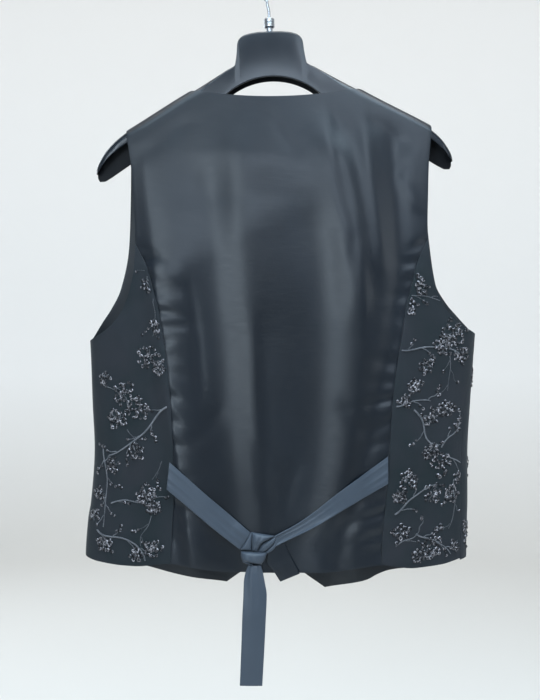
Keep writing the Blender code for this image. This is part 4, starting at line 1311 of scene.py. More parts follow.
# %% The hanger
FLANGE_WALL, FLANGE_THICK, LEAST_POCKET, EDGE_ROUND = 2.5, 3.0, 0.5, 0.9
ARCH_POCKET, ARCH_LIP, FLAT_TO_LIP, FIRST_INSIDE = 9.0, 1.6, 2.5, 14
HOLLOW_END, HOLLOW_BLEND, CROWN_STEPS, CAP_SHRINK = 62.0, 8.0, 9, 0.08
ARM_SPANS = ((0, 30, 11), (32, 46, 22), (49, 180, 40), (183, 216.4, 28))


def rolled(x, y, z):
    """Tips places of the hanger about its hook, and changes to metres."""
    cosine, sine = math.cos(HANGER_ROLL), math.sin(HANGER_ROLL)
    x, y, z = np.broadcast_arrays(x, y, z)
    return np.stack([x * cosine - z * sine, y, x * sine + z * cosine], axis=-1) * MM


def arch(x):
    return ARCH_TOP - ARCH_RADIUS + np.sqrt(np.maximum(ARCH_RADIUS**2 - np.asarray(x, float) ** 2, 0.0))


def hanger_rows():
    """Readers for every line of the section, from the stations."""
    lines = {name: [] for name in ("top", "bottom", "lip_z", "inner", "pocket")}
    for row in HANGER:
        line = SHOULDER_APEX - SHOULDER_PITCH * row.x - HANGER_CLEARANCE
        top = line if row.top is None else row.top
        bottom = float(arch(row.x)) if row.height is None else top - row.height
        lip_z = top - (top - bottom) * row.lip
        inner, pocket = row.half_depth - FLANGE_WALL, top - row.crown * 0.55 - FLANGE_THICK
        if row.lip == 1.0:
            inner, pocket = row.web + 2.0, bottom
        values = (top, bottom, lip_z, inner, max(pocket, lip_z + LEAST_POCKET))
        for name, value in zip(lines, values):
            lines[name].append((row.x, value))
    return {name: smooth(points) for name, points in lines.items()}


def rounded_corner(before, corner, after, radius):
    """Four points of an arc in place of a corner."""
    back, ahead = before - corner, after - corner
    radius = min(radius, 0.45 * np.linalg.norm(back), 0.45 * np.linalg.norm(ahead))
    back, ahead = back / np.linalg.norm(back) * radius, ahead / np.linalg.norm(ahead) * radius
    turns = np.radians((0.0, 30.0, 60.0, 90.0))
    return [corner + back + ahead - math.cos(a) * ahead - math.sin(a) * back for a in turns]


LINES = hanger_rows()


def hanger_section(x, shrink=0.0):
    """One closed cut across the arm, as (depth, height) points from the top, round the front."""
    value = {name: float(read(x)) for name, read in LINES.items()}
    value |= {name: float(STATION[name](x)) for name in ("half_depth", "crown", "web")}
    web_rise = 0.0
    if x < HOLLOW_END:
        value["bottom"] = float(arch(x))
        hollow = float(ease(min((HOLLOW_END - x) / HOLLOW_BLEND, 1.0)))
        value["lip_z"] = value["bottom"]
        value["pocket"] = value["bottom"] + LEAST_POCKET + ARCH_POCKET * hollow
        value["inner"] += (value["half_depth"] - ARCH_LIP - value["inner"]) * hollow
        web_rise = ARCH_POCKET * hollow
    crown = [
        np.array((value["half_depth"] * math.sin(a), value["top"] - value["crown"] * (1 - math.cos(a))))
        for a in np.radians(np.linspace(0, 90, CROWN_STEPS))
    ]
    corners = [
        np.array(place) for place in (
            (value["half_depth"], value["lip_z"]), (value["inner"], value["lip_z"]),
            (value["inner"], value["pocket"]), (value["web"], value["pocket"]),
            (value["web"], value["bottom"] + web_rise),
        )
    ]
    ends = [crown[-1], *corners, corners[-1] * (-1, 1)]
    near_lip = np.array((0.0, min(FLAT_TO_LIP, 0.4 * (crown[-1][1] - corners[0][1]))))
    half = [*crown, corners[0] + near_lip]
    half += [p for trio in zip(ends, ends[1:], ends[2:]) for p in rounded_corner(*trio, EDGE_ROUND)]
    loop = np.array(half + [p * (-1, 1) for p in reversed(half[1:])])
    middle = np.array((0.0, (value["top"] + value["bottom"]) / 2))
    return middle + (loop - middle) * (1 - shrink)


def loft(name, loops, finish, sharp_above=25.0):
    """A closed solid through a row of loops, with its finish and its sharp edges."""
    item = skin(name, loops, capped=True)
    item.data.set_sharp_from_angle(angle=math.radians(sharp_above))
    item.data.materials.append(finish)
    return item


def place_hard(piece, node):
    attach(piece, "root")
    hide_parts(node)
    print(piece.name, "faces:", len(piece.data.polygons))


half_way = np.concatenate([np.linspace(*span) for span in ARM_SPANS])
loops = []
for side in (-1, 1):
    for x in (half_way[::-1] if side < 0 else half_way[1:]):
        section = hanger_section(x)
        loops.append(rolled(side * x, section[:, 0] + arm_forward(x), section[:, 1]))
for at, side in ((0, -1), (len(loops), 1)):
    section = hanger_section(HANGER_HALF, shrink=CAP_SHRINK)
    cap = rolled(side * HANGER_HALF, section[:, 0] + arm_forward(HANGER_HALF), section[:, 1])
    loops = [cap, *loops] if at == 0 else [*loops, cap]
moulding = loft("hanger_moulding", loops, PLASTIC)
# The faces inside the hollow take the darker, duller plastic: painted shade.
moulding.data.materials.append(PLASTIC_INSIDE_PAINTED_SHADE)
sides = len(loops[0])
strip = np.arange(sides * (len(loops) - 1)) % sides
dull_painted_shade_faces = np.append((strip > FIRST_INSIDE) & (strip <= sides - FIRST_INSIDE), [False, False])
moulding.data.polygons.foreach_set("material_index", dull_painted_shade_faces.astype(np.int32))
place_hard(moulding, "hanger")

# %% [markdown]
# ## The ferrule and the hook
#
# The ferrule is turned metal: one profile swept round the stem, with the small bead in its middle. The hook
# is a bent wire. A curve with a round bevel could make it, but rings placed along the route also round off
# the cut end.

# %% The ferrule and the hook
HOOK_WIRE, HOOK_BEND, WIRE_SIDES = 1.75, 19.0, 20
HOOK_END, HOOK_LEFT, HOOK_BEND_STEP = -25.0, 222.0, 9.5
HOOK_STEPS, HOOK_ROUND = 10, (25, 50, 70, 84)
FERRULE_TOP, FERRULE_ROUND, FERRULE_SIDES = -64.0, 0.22, 56
STEM = ((0.0, FERRULE_TOP + SEAM_GAP), (0.0, -55.0), (-1.6, -46.5), (-3.2, -40.5))
FERRULE = ((5.6, -64.0), (6.4, -64.8), (6.4, -68.6), (5.9, -69.0), (5.9, -69.6), (6.4, -70.0),
           (6.4, -74.4), (5.6, -75.2), (4.0, -75.8), (4.0, -80.2))


def rounded_route(points, steps):
    """Points along a smooth curve through the given ones."""
    padded = [np.array(p, float) for p in (points[0], *points, points[-1])]
    route = []
    for a, b, c, d in zip(padded, padded[1:], padded[2:], padded[3:]):
        for t in np.arange(steps) / steps:
            pull = (c - a) * t + (2 * a - 5 * b + 4 * c - d) * t**2 + (3 * (b - c) + d - a) * t**3
            route.append(b + 0.5 * pull)
    return np.array([*route, padded[-1]])


def turned_loops(profile, sides):
    turns = full_turn(sides)
    return [rolled(r * np.cos(turns), r * np.sin(turns), z) for r, z in profile]


profile = [np.array(point) for point in FERRULE]
fine = [profile[0] - (0.4, 0)]
for before, corner, after in zip([profile[0] - (2, 0), *profile], profile, profile[1:]):
    fine += rounded_corner(before, corner, after, FERRULE_ROUND)
ferrule_loops = turned_loops([*fine, profile[-1]], FERRULE_SIDES)
place_hard(loft("ferrule_turned", ferrule_loops, STEEL, 40.0), "ferrule")

bend = []
for angle in np.radians(np.arange(HOOK_LEFT, HOOK_END - 0.01, -HOOK_BEND_STEP / 3)):
    reach = HOOK_BEND + HOOK_WIRE
    bend.append((reach * math.cos(angle), -HOOK_BEND + reach * math.sin(angle)))
route = np.concatenate([rounded_route([*STEM, bend[0]], HOOK_STEPS)[:-1], bend])
heading = unit(np.gradient(route, axis=0))
rings = [(p, h, HOOK_WIRE) for p, h in zip(route, heading)]
for turn in np.radians(HOOK_ROUND):
    place = route[-1] + heading[-1] * HOOK_WIRE * math.sin(turn)
    rings.append((place, heading[-1], HOOK_WIRE * math.cos(turn)))
turns = full_turn(WIRE_SIDES)
loops = []
for place, ahead, radius in rings:
    side = np.array((ahead[1], -ahead[0]))
    flat = place + np.outer(np.cos(turns), side) * radius
    loops.append(rolled(flat[:, 0], radius * np.sin(turns), flat[:, 1]))
place_hard(loft("hook_wire", loops, STEEL, 50.0), "hook")

# %% [markdown]
# ## The buttons
#
# A suit button is a turned disc with a raised rim, a shallow dish and four holes that a cross of
# thread holds. One is modelled with its holes cut by Boolean, and its mesh is copied to the five
# places down the front, so the costly step happens once.

# %% The buttons
BUTTON_TOP, BUTTON_STEP, BUTTON_COUNT = -445.0, 60.0, 5
BUTTON_SHANK = 0.5
HOLE_OUT, HOLE_RADIUS, BUTTON_SIDES, HOLE_SIDES = 1.6, 0.75, 48, 16
DRILL = ((HOLE_RADIUS, -1.0), (HOLE_RADIUS, 4.0))
STRAND_APART, STRAND_RADIUS, STRAND_STEPS, STRAND_TOP = 0.22, 0.24, 13, 2.75
BUTTON_PROFILE = (
    (5.6, 0.0), (6.5, 0.1), (7.1, 0.5), (7.45, 1.1), (7.5, 1.8), (7.3, 2.45), (6.8, 2.88), (6.2, 3.0),
    (5.6, 2.93), (5.1, 2.7), (4.7, 2.48), (4.2, 2.4), (2.0, 2.36), (0.6, 2.35),
)


def upright(x, y, z):
    return np.stack(np.broadcast_arrays(x, y, z), axis=-1)


def turned_disc(name, profile, sides, finish):
    turns = full_turn(sides)
    return loft(name, [upright(r * np.cos(turns), r * np.sin(turns), z) for r, z in profile], finish, 60.0)


def tube(route, radius, sides=8):
    """Loops of a thin tube along a route of points."""
    heading = unit(np.gradient(route, axis=0))
    side = unit(np.cross(heading, (0.31, 0.25, 0.92)))
    turns = full_turn(sides)[:, None]
    return [
        p + (np.cos(turns) * s + np.sin(turns) * np.cross(h, s)) * radius
        for p, h, s in zip(route, heading, side)
    ]


blank = turned_disc("button_blank", BUTTON_PROFILE, BUTTON_SIDES, BUTTON_FINISH)
holes = [turned_disc(f"hole_{i}", DRILL, HOLE_SIDES, BUTTON_FINISH) for i in range(4)]
for i, hole in enumerate(holes):
    turn = math.radians(45 + 90 * i)
    hole.data.transform(Matrix.Translation((HOLE_OUT * math.cos(turn), HOLE_OUT * math.sin(turn), 0)))
    cut = blank.modifiers.new(f"cut_{i}", "BOOLEAN")
    cut.operation, cut.object, cut.solver = "DIFFERENCE", hole, "EXACT"
pierced = bpy.data.meshes.new_from_object(blank.evaluated_get(bpy.context.evaluated_depsgraph_get()))
for item in (blank, *holes):
    bpy.data.objects.remove(item, do_unlink=True)
threads = []
for turn in np.radians((45.0, 135.0)):
    for strand in (-STRAND_APART, STRAND_APART):
        reach = np.linspace(-1, 1, STRAND_STEPS)
        x, y = HOLE_OUT * 1.05 * reach * math.cos(turn), HOLE_OUT * 1.05 * reach * math.sin(turn)
        z = STRAND_TOP - 1.6 * np.maximum(np.abs(reach) - 0.55, 0.0) ** 1.2 * 2
        offset = np.array((-math.sin(turn), math.cos(turn), 0)) * strand
        loops = tube(upright(x, y, z) + offset, STRAND_RADIUS)
        threads.append(loft("strand", loops, DARK_THREAD, 60.0))
strands = join("button_strands", threads).data
for i in range(BUTTON_COUNT):
    seat = cloth(np.array(1.0), np.array(BUTTON_TOP - BUTTON_STEP * i), OVERLAP_LIFT + BUTTON_SHANK)
    place = Matrix.Translation(seat) @ Matrix.Rotation(-math.pi / 2, 4, "X") @ Matrix.Scale(MM, 4)
    for kind, source, finish in (("disc", pierced, BUTTON_FINISH), ("strands", strands, DARK_THREAD)):
        mesh = source.copy()
        mesh.transform(place)
        piece = add_object(f"button_{i + 1}_{kind}", mesh)
        if kind == "disc":
            mesh.materials.clear()
            mesh.materials.append(finish)
            mesh.shade_smooth()
            mesh.set_sharp_from_angle(angle=math.radians(45))
            place_hard(piece, f"button_{i + 1}")
        else:
            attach(piece, "root")
bpy.data.objects.remove(bpy.data.objects["button_strands"], do_unlink=True)
print("buttons:", BUTTON_COUNT)

# %% [markdown]
# ## Embroidery: the sequins
#
# The crepe is worked all over with blossoms of ring sequins. A sequin could be modelled once and
# duplicated by hand, but hundreds of them want Geometry Nodes: the tree makes one small ring,
# places it at every point that it is given, stands it on the cloth with the stored direction,
# tilts each a little by chance, and turns the instances into real mesh.

# %% The sequin tree
def start_tree(name, inputs):
    """A node tree with a geometry input, named inputs and a geometry output."""
    tree = bpy.data.node_groups.new(name, "GeometryNodeTree")
    tree.interface.new_socket(name="Geometry", in_out="INPUT", socket_type="NodeSocketGeometry")
    for label, kind in inputs:
        tree.interface.new_socket(name=label, in_out="INPUT", socket_type=f"NodeSocket{kind}")
    tree.interface.new_socket(name="Geometry", in_out="OUTPUT", socket_type="NodeSocketGeometry")
    return tree, tree.nodes.new("NodeGroupInput"), tree.nodes.new("NodeGroupOutput")


def stored(tree, name, kind):
    node = add_node(tree, "GeometryNodeInputNamedAttribute", [("data_type", kind)], Name=name)
    return next(s for s in node.outputs if s.enabled and s.name == "Attribute")


def calculate(tree, operation, a, b):
    return add_node(tree, "ShaderNodeMath", [("operation", operation)], at_0=a, at_1=b).outputs[0]


def finish_tree(tree, given, result, output, second=None):
    """Ends a tree with real mesh and its finish, and a second finish on the faces marked so."""
    real = add_node(tree, "GeometryNodeRealizeInstances", Geometry=result)
    coloured = add_node(
        tree, "GeometryNodeSetMaterial", Geometry=real.outputs["Geometry"], Material=given.outputs["Finish"]
    )
    if second:
        coloured = add_node(
            tree, "GeometryNodeSetMaterial", Geometry=coloured.outputs["Geometry"],
            Selection=stored(tree, second, "BOOLEAN"),
            Material=given.outputs[second.capitalize() + " finish"],
        )
    tree.links.new(coloured.outputs["Geometry"], output.inputs["Geometry"])
    return tree


def make_sequin_tree():
    tree, given, output = start_tree("sequins", (
        ("Radius", "Float"), ("Hole share", "Float"), ("Thickness", "Float"), ("Cup", "Float"),
        ("Tilt", "Float"), ("Seed", "Int"), ("Finish", "Material"), ("Bead finish", "Material"),
    ))
    radius, hole = given.outputs["Radius"], given.outputs["Hole share"]
    middle = calculate(tree, "MULTIPLY", radius, calculate(tree, "MULTIPLY_ADD", hole, 0.5))
    middle.node.inputs[1].default_value = 0.5
    share = middle.node.inputs[1].links[0].from_node
    share.inputs[1].default_value, share.inputs[2].default_value = 0.5, 0.5
    width = calculate(tree, "MULTIPLY", radius, calculate(tree, "SUBTRACT", 1.0, hole))
    path = add_node(tree, "GeometryNodeCurvePrimitiveCircle", Resolution=9, Radius=middle)
    section = add_node(
        tree, "GeometryNodeCurvePrimitiveQuadrilateral", [("mode", "RECTANGLE")],
        Width=width, Height=given.outputs["Thickness"],
    )
    turn = add_node(tree, "ShaderNodeCombineXYZ", Z=given.outputs["Cup"])
    cupped = add_node(
        tree, "GeometryNodeTransform", Geometry=section.outputs["Curve"], Rotation=turn.outputs["Vector"]
    )
    ring = add_node(
        tree, "GeometryNodeCurveToMesh", at_0=path.outputs["Curve"], Profile_Curve=cupped.outputs["Geometry"]
    )
    # A small bead fills each hole; its near-black colour also paints the shade in the hole.
    ball = add_node(
        tree, "GeometryNodeMeshUVSphere", Segments=5, Rings=2,
        Radius=calculate(tree, "MULTIPLY", radius, hole),
    )
    marked = add_node(
        tree, "GeometryNodeStoreNamedAttribute", [("data_type", "BOOLEAN"), ("domain", "FACE")],
        Geometry=ball.outputs["Mesh"], Name="bead",
    )
    next(s for s in marked.inputs if s.enabled and s.name == "Value").default_value = True
    sewn = add_node(tree, "GeometryNodeJoinGeometry", Geometry=marked.outputs["Geometry"])
    tree.links.new(ring.outputs["Mesh"], sewn.inputs["Geometry"])
    stand = add_node(
        tree, "FunctionNodeAlignRotationToVector", [("axis", "Z")], Vector=stored(tree, "aim", "FLOAT_VECTOR")
    )
    tilt = given.outputs["Tilt"]
    against = calculate(tree, "MULTIPLY", tilt, -1.0)
    low = add_node(tree, "ShaderNodeCombineXYZ", X=against, Y=against, Z=-math.pi)
    high = add_node(tree, "ShaderNodeCombineXYZ", X=tilt, Y=tilt, Z=math.pi)
    chance = add_node(
        tree, "FunctionNodeRandomValue", [("data_type", "FLOAT_VECTOR")],
        at_0=low.outputs["Vector"], at_1=high.outputs["Vector"], Seed=given.outputs["Seed"],
    )
    tilted = add_node(
        tree, "FunctionNodeRotateRotation", [("rotation_space", "LOCAL")],
        Rotation=stand.outputs["Rotation"], Rotate_By=chance.outputs[0],
    )
    placed = add_node(
        tree, "GeometryNodeInstanceOnPoints",
        Points=given.outputs["Geometry"], Instance=sewn.outputs["Geometry"],
        Rotation=tilted.outputs["Rotation"], Scale=stored(tree, "size", "FLOAT"),
    )
    return finish_tree(tree, given, placed.outputs["Instances"], output, "bead")


SEQUIN_TREE = make_sequin_tree()
print("sequin tree nodes:", len(SEQUIN_TREE.nodes))

# %% [markdown]
# ## Embroidery: the stitched cord
#
# The branches are a thick thread laid down with slanting stitches, so up close they look
# twisted. The tree turns each chain of edges into a curve, spaces points evenly along it, and
# sets one plump, slanted stitch at each, aimed along the curve and upright on the cloth. Where
# the stored thickness is small, the stitches shrink apart into a row of dashes, as on the twigs.

# %% The cord tree
def make_cord_tree():
    tree, given, output = start_tree("stitched_cord", (
        ("Stitch length", "Float"), ("Stitch width", "Float"), ("Spacing", "Float"), ("Slant", "Float"),
        ("Finish", "Material"),
    ))
    ball = add_node(tree, "GeometryNodeMeshUVSphere", Segments=5, Rings=3, Radius=0.5)
    size = add_node(
        tree, "ShaderNodeCombineXYZ", X=given.outputs["Stitch length"], Y=given.outputs["Stitch width"],
        Z=calculate(tree, "MULTIPLY", given.outputs["Stitch width"], 0.8),
    )
    slant = add_node(tree, "ShaderNodeCombineXYZ", Z=given.outputs["Slant"])
    stretched = add_node(
        tree, "GeometryNodeTransform", Geometry=ball.outputs["Mesh"], Scale=size.outputs["Vector"]
    )
    stitch = add_node(
        tree, "GeometryNodeTransform",
        Geometry=stretched.outputs["Geometry"], Rotation=slant.outputs["Vector"],
    )
    rounded = add_node(tree, "GeometryNodeSetShadeSmooth", at_0=stitch.outputs["Geometry"])
    chain = add_node(tree, "GeometryNodeMeshToCurve", Mesh=given.outputs["Geometry"])
    spaced = add_node(
        tree, "GeometryNodeResampleCurve", [("mode", "LENGTH")], Curve=chain.outputs["Curve"],
        Length=given.outputs["Spacing"],
    )
    aimed = add_node(
        tree, "FunctionNodeAxesToRotation", [("primary_axis", "Z"), ("secondary_axis", "X")],
        Primary_Axis=stored(tree, "aim", "FLOAT_VECTOR"),
        Secondary_Axis=add_node(tree, "GeometryNodeInputTangent").outputs["Tangent"],
    )
    placed = add_node(
        tree, "GeometryNodeInstanceOnPoints", Points=spaced.outputs["Curve"], Instance=rounded.outputs[0],
        Rotation=aimed.outputs["Rotation"], Scale=stored(tree, "thick", "FLOAT"),
    )
    return finish_tree(tree, given, placed.outputs["Instances"], output)


CORD_TREE = make_cord_tree()


def grow(name, tree, points, edges, attributes, **inputs):
    """Runs a tree on points or chains of edges and returns the result as a plain piece."""
    mesh = bpy.data.meshes.new(name)
    mesh.from_pydata(points.tolist(), edges, [])
    for label, values in attributes.items():
        kind, key = ("FLOAT_VECTOR", "vector") if values.ndim == 2 else ("FLOAT", "value")
        mesh.attributes.new(label, kind, "POINT").data.foreach_set(key, values.ravel().astype(np.float32))
    item = add_object(name, mesh)
    maker = item.modifiers.new("grow", "NODES")
    maker.node_group = tree
    for socket in tree.interface.items_tree:
        label = socket.name.replace(" ", "_")
        if socket.in_out == "INPUT" and label in inputs:
            maker[socket.identifier] = inputs[label]
    made = bpy.data.meshes.new_from_object(item.evaluated_get(bpy.context.evaluated_depsgraph_get()))
    item.modifiers.remove(maker)
    item.data = made
    bpy.data.meshes.remove(mesh)
    made.name = name
    return item


print("cord tree nodes:", len(CORD_TREE.nodes))

# %% [markdown]
# ## Drawing the branches
#
# The motif is drawn on the flat cloth: u runs round the body from the centre back, and the
# height runs up. A branch is a walk that bends a little at each step and puts out twigs to both
# sides. A blossom is a ring of petals, each a short row of overlapping sequins. A chance with a
# fixed seed varies them all, and what would cross an edge or a seam of the panel is left out.

# %% Branches and blossoms
Branch = namedtuple("Branch", "x height angle length bend thick")
Bloom = namedtuple("Bloom", "x height size")
EMBROIDERY_MARGIN, CORD_MARGIN, SHOULDER_CLEAR = 3.2, 2.2, 26.0
WALK_STEP, SEQUIN_STEP, PETAL_GAPS, LIFT_SEED = 1.6, 4.4, 0.12, 5
SEQUIN_SIZES = {
    "Radius": 2.5 * MM, "Hole_share": 0.44, "Thickness": 0.26 * MM,
    "Cup": math.radians(22), "Tilt": math.radians(15), "Seed": 3,
}
STITCH_SIZES = {
    "Stitch_length": 3.3 * MM, "Stitch_width": 1.9 * MM, "Spacing": 1.25 * MM, "Slant": math.radians(58),
}


def in_panel(panel, u, height, margin=EMBROIDERY_MARGIN):
    """Whether places lie on a panel's cloth, clear of its edges."""
    face, side = panel
    share, room = np.abs(u) / HALF_GIRTH, margin / HALF_GIRTH
    seam = side_share(side, height)
    if face == "back":
        first = back_share(SEAM(height), height)
        last = np.where(height > CORNER, back_share(BACK_EDGE(height), height), seam)
        hem, top = BACK_HEM_AT(np.abs(surface(share, height)[..., 0])), SIDE_TOP
    else:
        edge, neck = front_share(FRONT_EDGE[side](height), height), front_share(V_NECK(height), height)
        first, last = np.where(height > CORNER, edge, seam), np.where(height > CORNER, neck, 1.0)
        last = np.minimum(last, neck)
        x = np.abs(surface(share, height)[..., 0])
        hem, top = front_hem(side, x), shoulder_line(x) - SHOULDER_CLEAR
    return (share > first + room) & (share < last - room) & (height > hem + margin * 1.6) & (height < top)


def walk(u, height, angle, length, bend):
    """A winding line: it turns by bend degrees over its length, and back a little at its end."""
    steps = max(int(length / WALK_STEP), 3)
    share = np.arange(steps) / steps
    turn = np.radians(angle + bend * np.sin(share * math.pi * 1.25) + 10 * np.sin(share * 9.0))
    du, dz = np.cos(turn) * WALK_STEP, np.sin(turn) * WALK_STEP
    return np.stack([u + np.cumsum(du), height + np.cumsum(dz)], axis=-1), np.degrees(turn)


def draw_bloom(chance, bloom, u, sequins, chains):
    """Petals round a middle: each petal is a loop of sequins, and some have a stitched vein."""
    petals = int(round(chance.uniform(4.4, 5.8)))
    start = chance.uniform(0, 360)
    middle = np.array((u, bloom.height))
    for i in range(petals):
        angle = start + 360 * i / petals + chance.uniform(-14, 14)
        ahead = np.array((math.cos(math.radians(angle)), math.sin(math.radians(angle))))
        aside = np.array((-ahead[1], ahead[0]))
        reach, plump = bloom.size * chance.uniform(0.50, 0.80), bloom.size * chance.uniform(0.26, 0.38)
        count = max(int(round(2 * math.pi * plump / SEQUIN_STEP)), 3)
        for j in range(count):
            if chance.random() < PETAL_GAPS:
                continue
            turn = 2 * math.pi * j / count + chance.uniform(-0.2, 0.2)
            spot = middle + ahead * (reach + plump * 1.15 * math.cos(turn)) + aside * plump * math.sin(turn)
            sequins.append((*spot, chance.uniform(0.74, 1.1)))
        if chance.random() < 0.45:
            line, _ = walk(u, bloom.height, angle + 20, reach * 1.3, chance.uniform(-30, 30))
            chains.append((line, np.full(len(line), 0.46)))


def draw_branch(chance, branch, u, sequins, chains):
    """One branch with its twigs, and a bud of a few sequins at each tip."""
    line, headings = walk(u, branch.height, branch.angle, branch.length, branch.bend)
    chains.append((line, branch.thick * np.linspace(1.0, 0.72, len(line))))
    side, i = chance.choice((-1, 1)), int(chance.uniform(4, 9))
    while i < len(line):
        out = headings[i] + side * chance.uniform(35, 65)
        twig, twig_headings = walk(*line[i], out, chance.uniform(9, 20), -side * chance.uniform(10, 45))
        chains.append((twig, np.linspace(0.62, 0.5, len(twig)) * min(branch.thick * 1.2, 1.0)))
        tip, ahead = twig[-1], math.radians(twig_headings[-1])
        for j in range(int(chance.uniform(1.4, 4.6))):
            swing = chance.uniform(-1.4, 1.4, 2)
            spot = tip + np.array((math.cos(ahead), math.sin(ahead))) * j * SEQUIN_STEP + swing
            sequins.append((*spot, chance.uniform(0.65, 1.0)))
        side, i = -side, i + int(chance.uniform(7, 15))


def on_cloth(panel, places, out):
    """Places on a panel's cloth, and the direction away from it."""
    face, side = panel
    share, height = places[:, 0] / HALF_GIRTH, places[:, 1]
    x = surface(share, height)[..., 0]
    lift = relief(face, x, height) + out
    if panel == ("front", "right"):
        lift = lift + overlap_lift(x)
    here = cloth(share, height, lift)
    aim = cloth(share, height, lift + 1.0) - here
    return here, unit(aim)


def embroider(panel, sequins, chains):
    """Grows one panel's sequins and cords from its drawing."""
    name = "_".join(panel)
    chance = np.random.default_rng(LIFT_SEED)
    spots = np.array(sequins)
    spots = spots[in_panel(panel, spots[:, 0], spots[:, 1])]
    places, aim = on_cloth(panel, spots[:, :2], 0.35 + chance.uniform(0, 0.7, len(spots)))
    piece = grow(
        f"{name}_sequins", SEQUIN_TREE, places, [], {"aim": aim, "size": spots[:, 2]},
        Finish=SEQUIN_PAINTED_GLINTS_AND_TONE, Bead_finish=BEAD_PAINTED_SHADE_FINISH, **SEQUIN_SIZES,
    )
    made = [piece]
    lines, thick, edges, used = [], [], [], 0
    for line, widths in chains:
        kept = in_panel(panel, line[:, 0], line[:, 1], CORD_MARGIN)
        lines.append(line)
        thick.append(widths)
        joined = np.flatnonzero(kept[1:] & kept[:-1])
        edges += [(used + i, used + i + 1) for i in joined.tolist()]
        used += len(line)
    lines, thick = np.concatenate(lines), np.concatenate(thick)
    places, aim = on_cloth(panel, lines, 0.3 + 0.45 * thick)
    made.append(grow(
        f"{name}_cords", CORD_TREE, places, edges, {"aim": aim, "thick": thick},
        Finish=CORD_THREAD, **STITCH_SIZES,
    ))
    for piece in made:
        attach(piece, "root")
        piece.data.calc_loop_triangles()
        print(piece.name, "triangles:", len(piece.data.loop_triangles))


print("drawing helpers ready")

# %% [markdown]
# ## The motif on the side backs
#
# The two side backs show most, so their branches and blossoms are placed one by one: thick branches sweep
# across, and the blossoms gather where they end or fork.

# %% Embroider the side backs
SIDE_BACK_SEEDS = {"left": 17, "right": 29}
SIDE_BACK_BRANCHES = {
    "left": (
        Branch(-150, -352, 262, 42, -18, 0.45), Branch(-152, -404, 255, 46, 20, 0.45),
        Branch(-134, -533, 205, 98, 26, 1.0), Branch(-214, -506, 322, 34, 14, 0.5),
        Branch(-213, -584, 268, 98, 12, 0.75), Branch(-202, -652, 22, 58, -26, 0.8),
        Branch(-216, -684, 306, 78, 52, 0.95), Branch(-184, -560, 290, 34, 20, 0.5),
        Branch(-150, -664, 262, 40, -20, 0.5), Branch(-140, -598, 232, 26, 20, 0.5),
    ),
    "right": (
        Branch(158, -330, 268, 40, 16, 0.45), Branch(144, -404, 335, 62, 20, 0.6),
        Branch(138, -470, 342, 74, 28, 0.85), Branch(200, -474, 262, 46, 12, 0.5),
        Branch(134, -536, 352, 44, 30, 0.85), Branch(156, -540, 318, 58, -30, 1.0),
        Branch(190, -586, 58, 40, -20, 0.75), Branch(196, -592, 300, 44, 40, 0.7),
        Branch(136, -662, 24, 56, 22, 0.9), Branch(208, -622, 248, 60, 30, 0.6),
        Branch(140, -700, 40, 36, -20, 0.7), Branch(164, -684, 312, 54, 34, 0.8),
    ),
}
SIDE_BACK_BLOOMS = {
    "left": (
        Bloom(-150, -372, 10), Bloom(-158, -390, 8), Bloom(-147, -436, 9), Bloom(-158, -474, 14),
        Bloom(-144, -486, 8), Bloom(-186, -520, 15), Bloom(-170, -536, 13), Bloom(-196, -548, 11),
        Bloom(-212, -500, 8), Bloom(-200, -604, 10), Bloom(-172, -588, 9), Bloom(-158, -640, 13),
        Bloom(-216, -640, 8), Bloom(-148, -656, 9), Bloom(-146, -704, 11), Bloom(-166, -712, 8),
        Bloom(-206, -700, 9), Bloom(-222, -668, 8),
    ),
    "right": (
        Bloom(158, -352, 8), Bloom(156, -384, 9), Bloom(166, -398, 9), Bloom(150, -420, 10),
        Bloom(205, -450, 17), Bloom(192, -466, 12), Bloom(214, -478, 10), Bloom(170, -490, 9),
        Bloom(158, -512, 9), Bloom(146, -530, 8), Bloom(196, -540, 10), Bloom(178, -548, 11),
        Bloom(192, -604, 14), Bloom(214, -560, 8), Bloom(176, -590, 9), Bloom(152, -622, 11),
        Bloom(142, -640, 9), Bloom(204, -640, 9), Bloom(182, -638, 10), Bloom(146, -684, 11),
        Bloom(186, -702, 12), Bloom(168, -712, 8), Bloom(216, -622, 8), Bloom(216, -700, 8),
    ),
}


def round_body(x, height):
    """How far round the back a place at this half width lies, mm."""
    return math.copysign(float(back_share(abs(x), height)) * HALF_GIRTH, x)


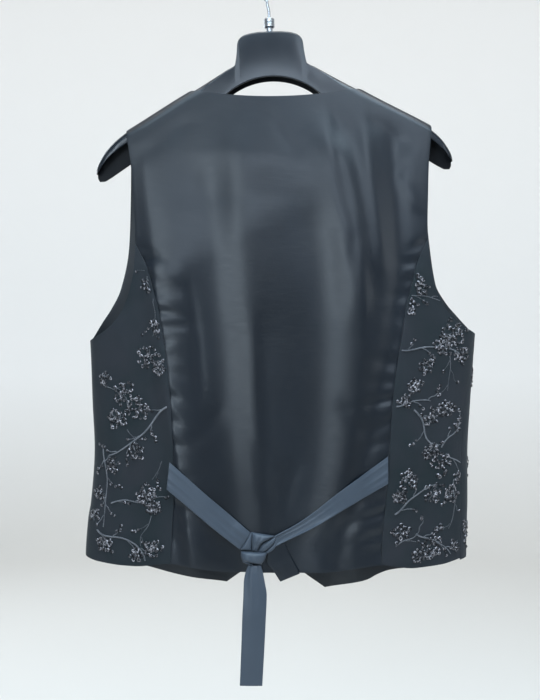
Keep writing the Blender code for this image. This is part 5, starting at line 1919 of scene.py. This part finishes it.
for side in ("left", "right"):
    chance = np.random.default_rng(SIDE_BACK_SEEDS[side])
    sequins, chains = [], []
    for branch in SIDE_BACK_BRANCHES[side]:
        draw_branch(chance, branch, round_body(branch.x, branch.height), sequins, chains)
    for bloom in SIDE_BACK_BLOOMS[side]:
        draw_bloom(chance, bloom, round_body(bloom.x, bloom.height), sequins, chains)
    print(side, "sequins:", len(sequins), "chains:", len(chains))
    embroider(("back", side), sequins, chains)

# %% [markdown]
# ## The motif on the fronts
#
# The fronts carry the same motif all over. Blossoms are scattered by chance but never too close, and each is
# joined to its nearest neighbour below, when that is near enough, by a branch that bends one way or the
# other.

# %% Embroider the fronts
FRONT_SEEDS = {"left": 41, "right": 53}
TRIES, FRONT_ROUND, FRONT_HEIGHTS = 2600, (225, 484), (-752, -165)
BLOOM_APART, BLOOM_MARGIN, BLOOM_SIZES, BRANCH_REACH = 44.0, 6.0, (8, 15), 82.0


def scatter_blooms(chance, panel, sign):
    """Blossoms on a front, none closer to another than they may be."""
    blooms = []
    for _ in range(TRIES):
        u, height = sign * chance.uniform(*FRONT_ROUND), chance.uniform(*FRONT_HEIGHTS)
        apart = all(math.hypot(u - other[0], height - other[1].height) > BLOOM_APART for other in blooms)
        if apart and in_panel(panel, np.array(u), np.array(height), BLOOM_MARGIN):
            blooms.append((u, Bloom(0, height, chance.uniform(*BLOOM_SIZES))))
    return blooms


for side, sign in (("left", -1), ("right", 1)):
    panel = ("front", side)
    chance = np.random.default_rng(FRONT_SEEDS[side])
    sequins, chains = [], []
    blooms = scatter_blooms(chance, panel, sign)
    for u, bloom in blooms:
        draw_bloom(chance, bloom, u, sequins, chains)
        below = [(math.hypot(v - u, other.height - bloom.height), v, other) for v, other in blooms
                 if other.height < bloom.height - 6]
        for gap, v, other in sorted(below, key=lambda item: item[0])[:1]:
            if gap < BRANCH_REACH:
                bend = chance.choice((-1, 1)) * chance.uniform(12, 34)
                angle = math.degrees(math.atan2(other.height - bloom.height, v - u)) - bend * 0.45
                branch = Branch(0, bloom.height, angle, gap, bend, chance.uniform(0.5, 1.0))
                draw_branch(chance, branch, u, sequins, chains)
    print(side, "blossoms:", len(blooms), "sequins:", len(sequins))
    embroider(panel, sequins, chains)
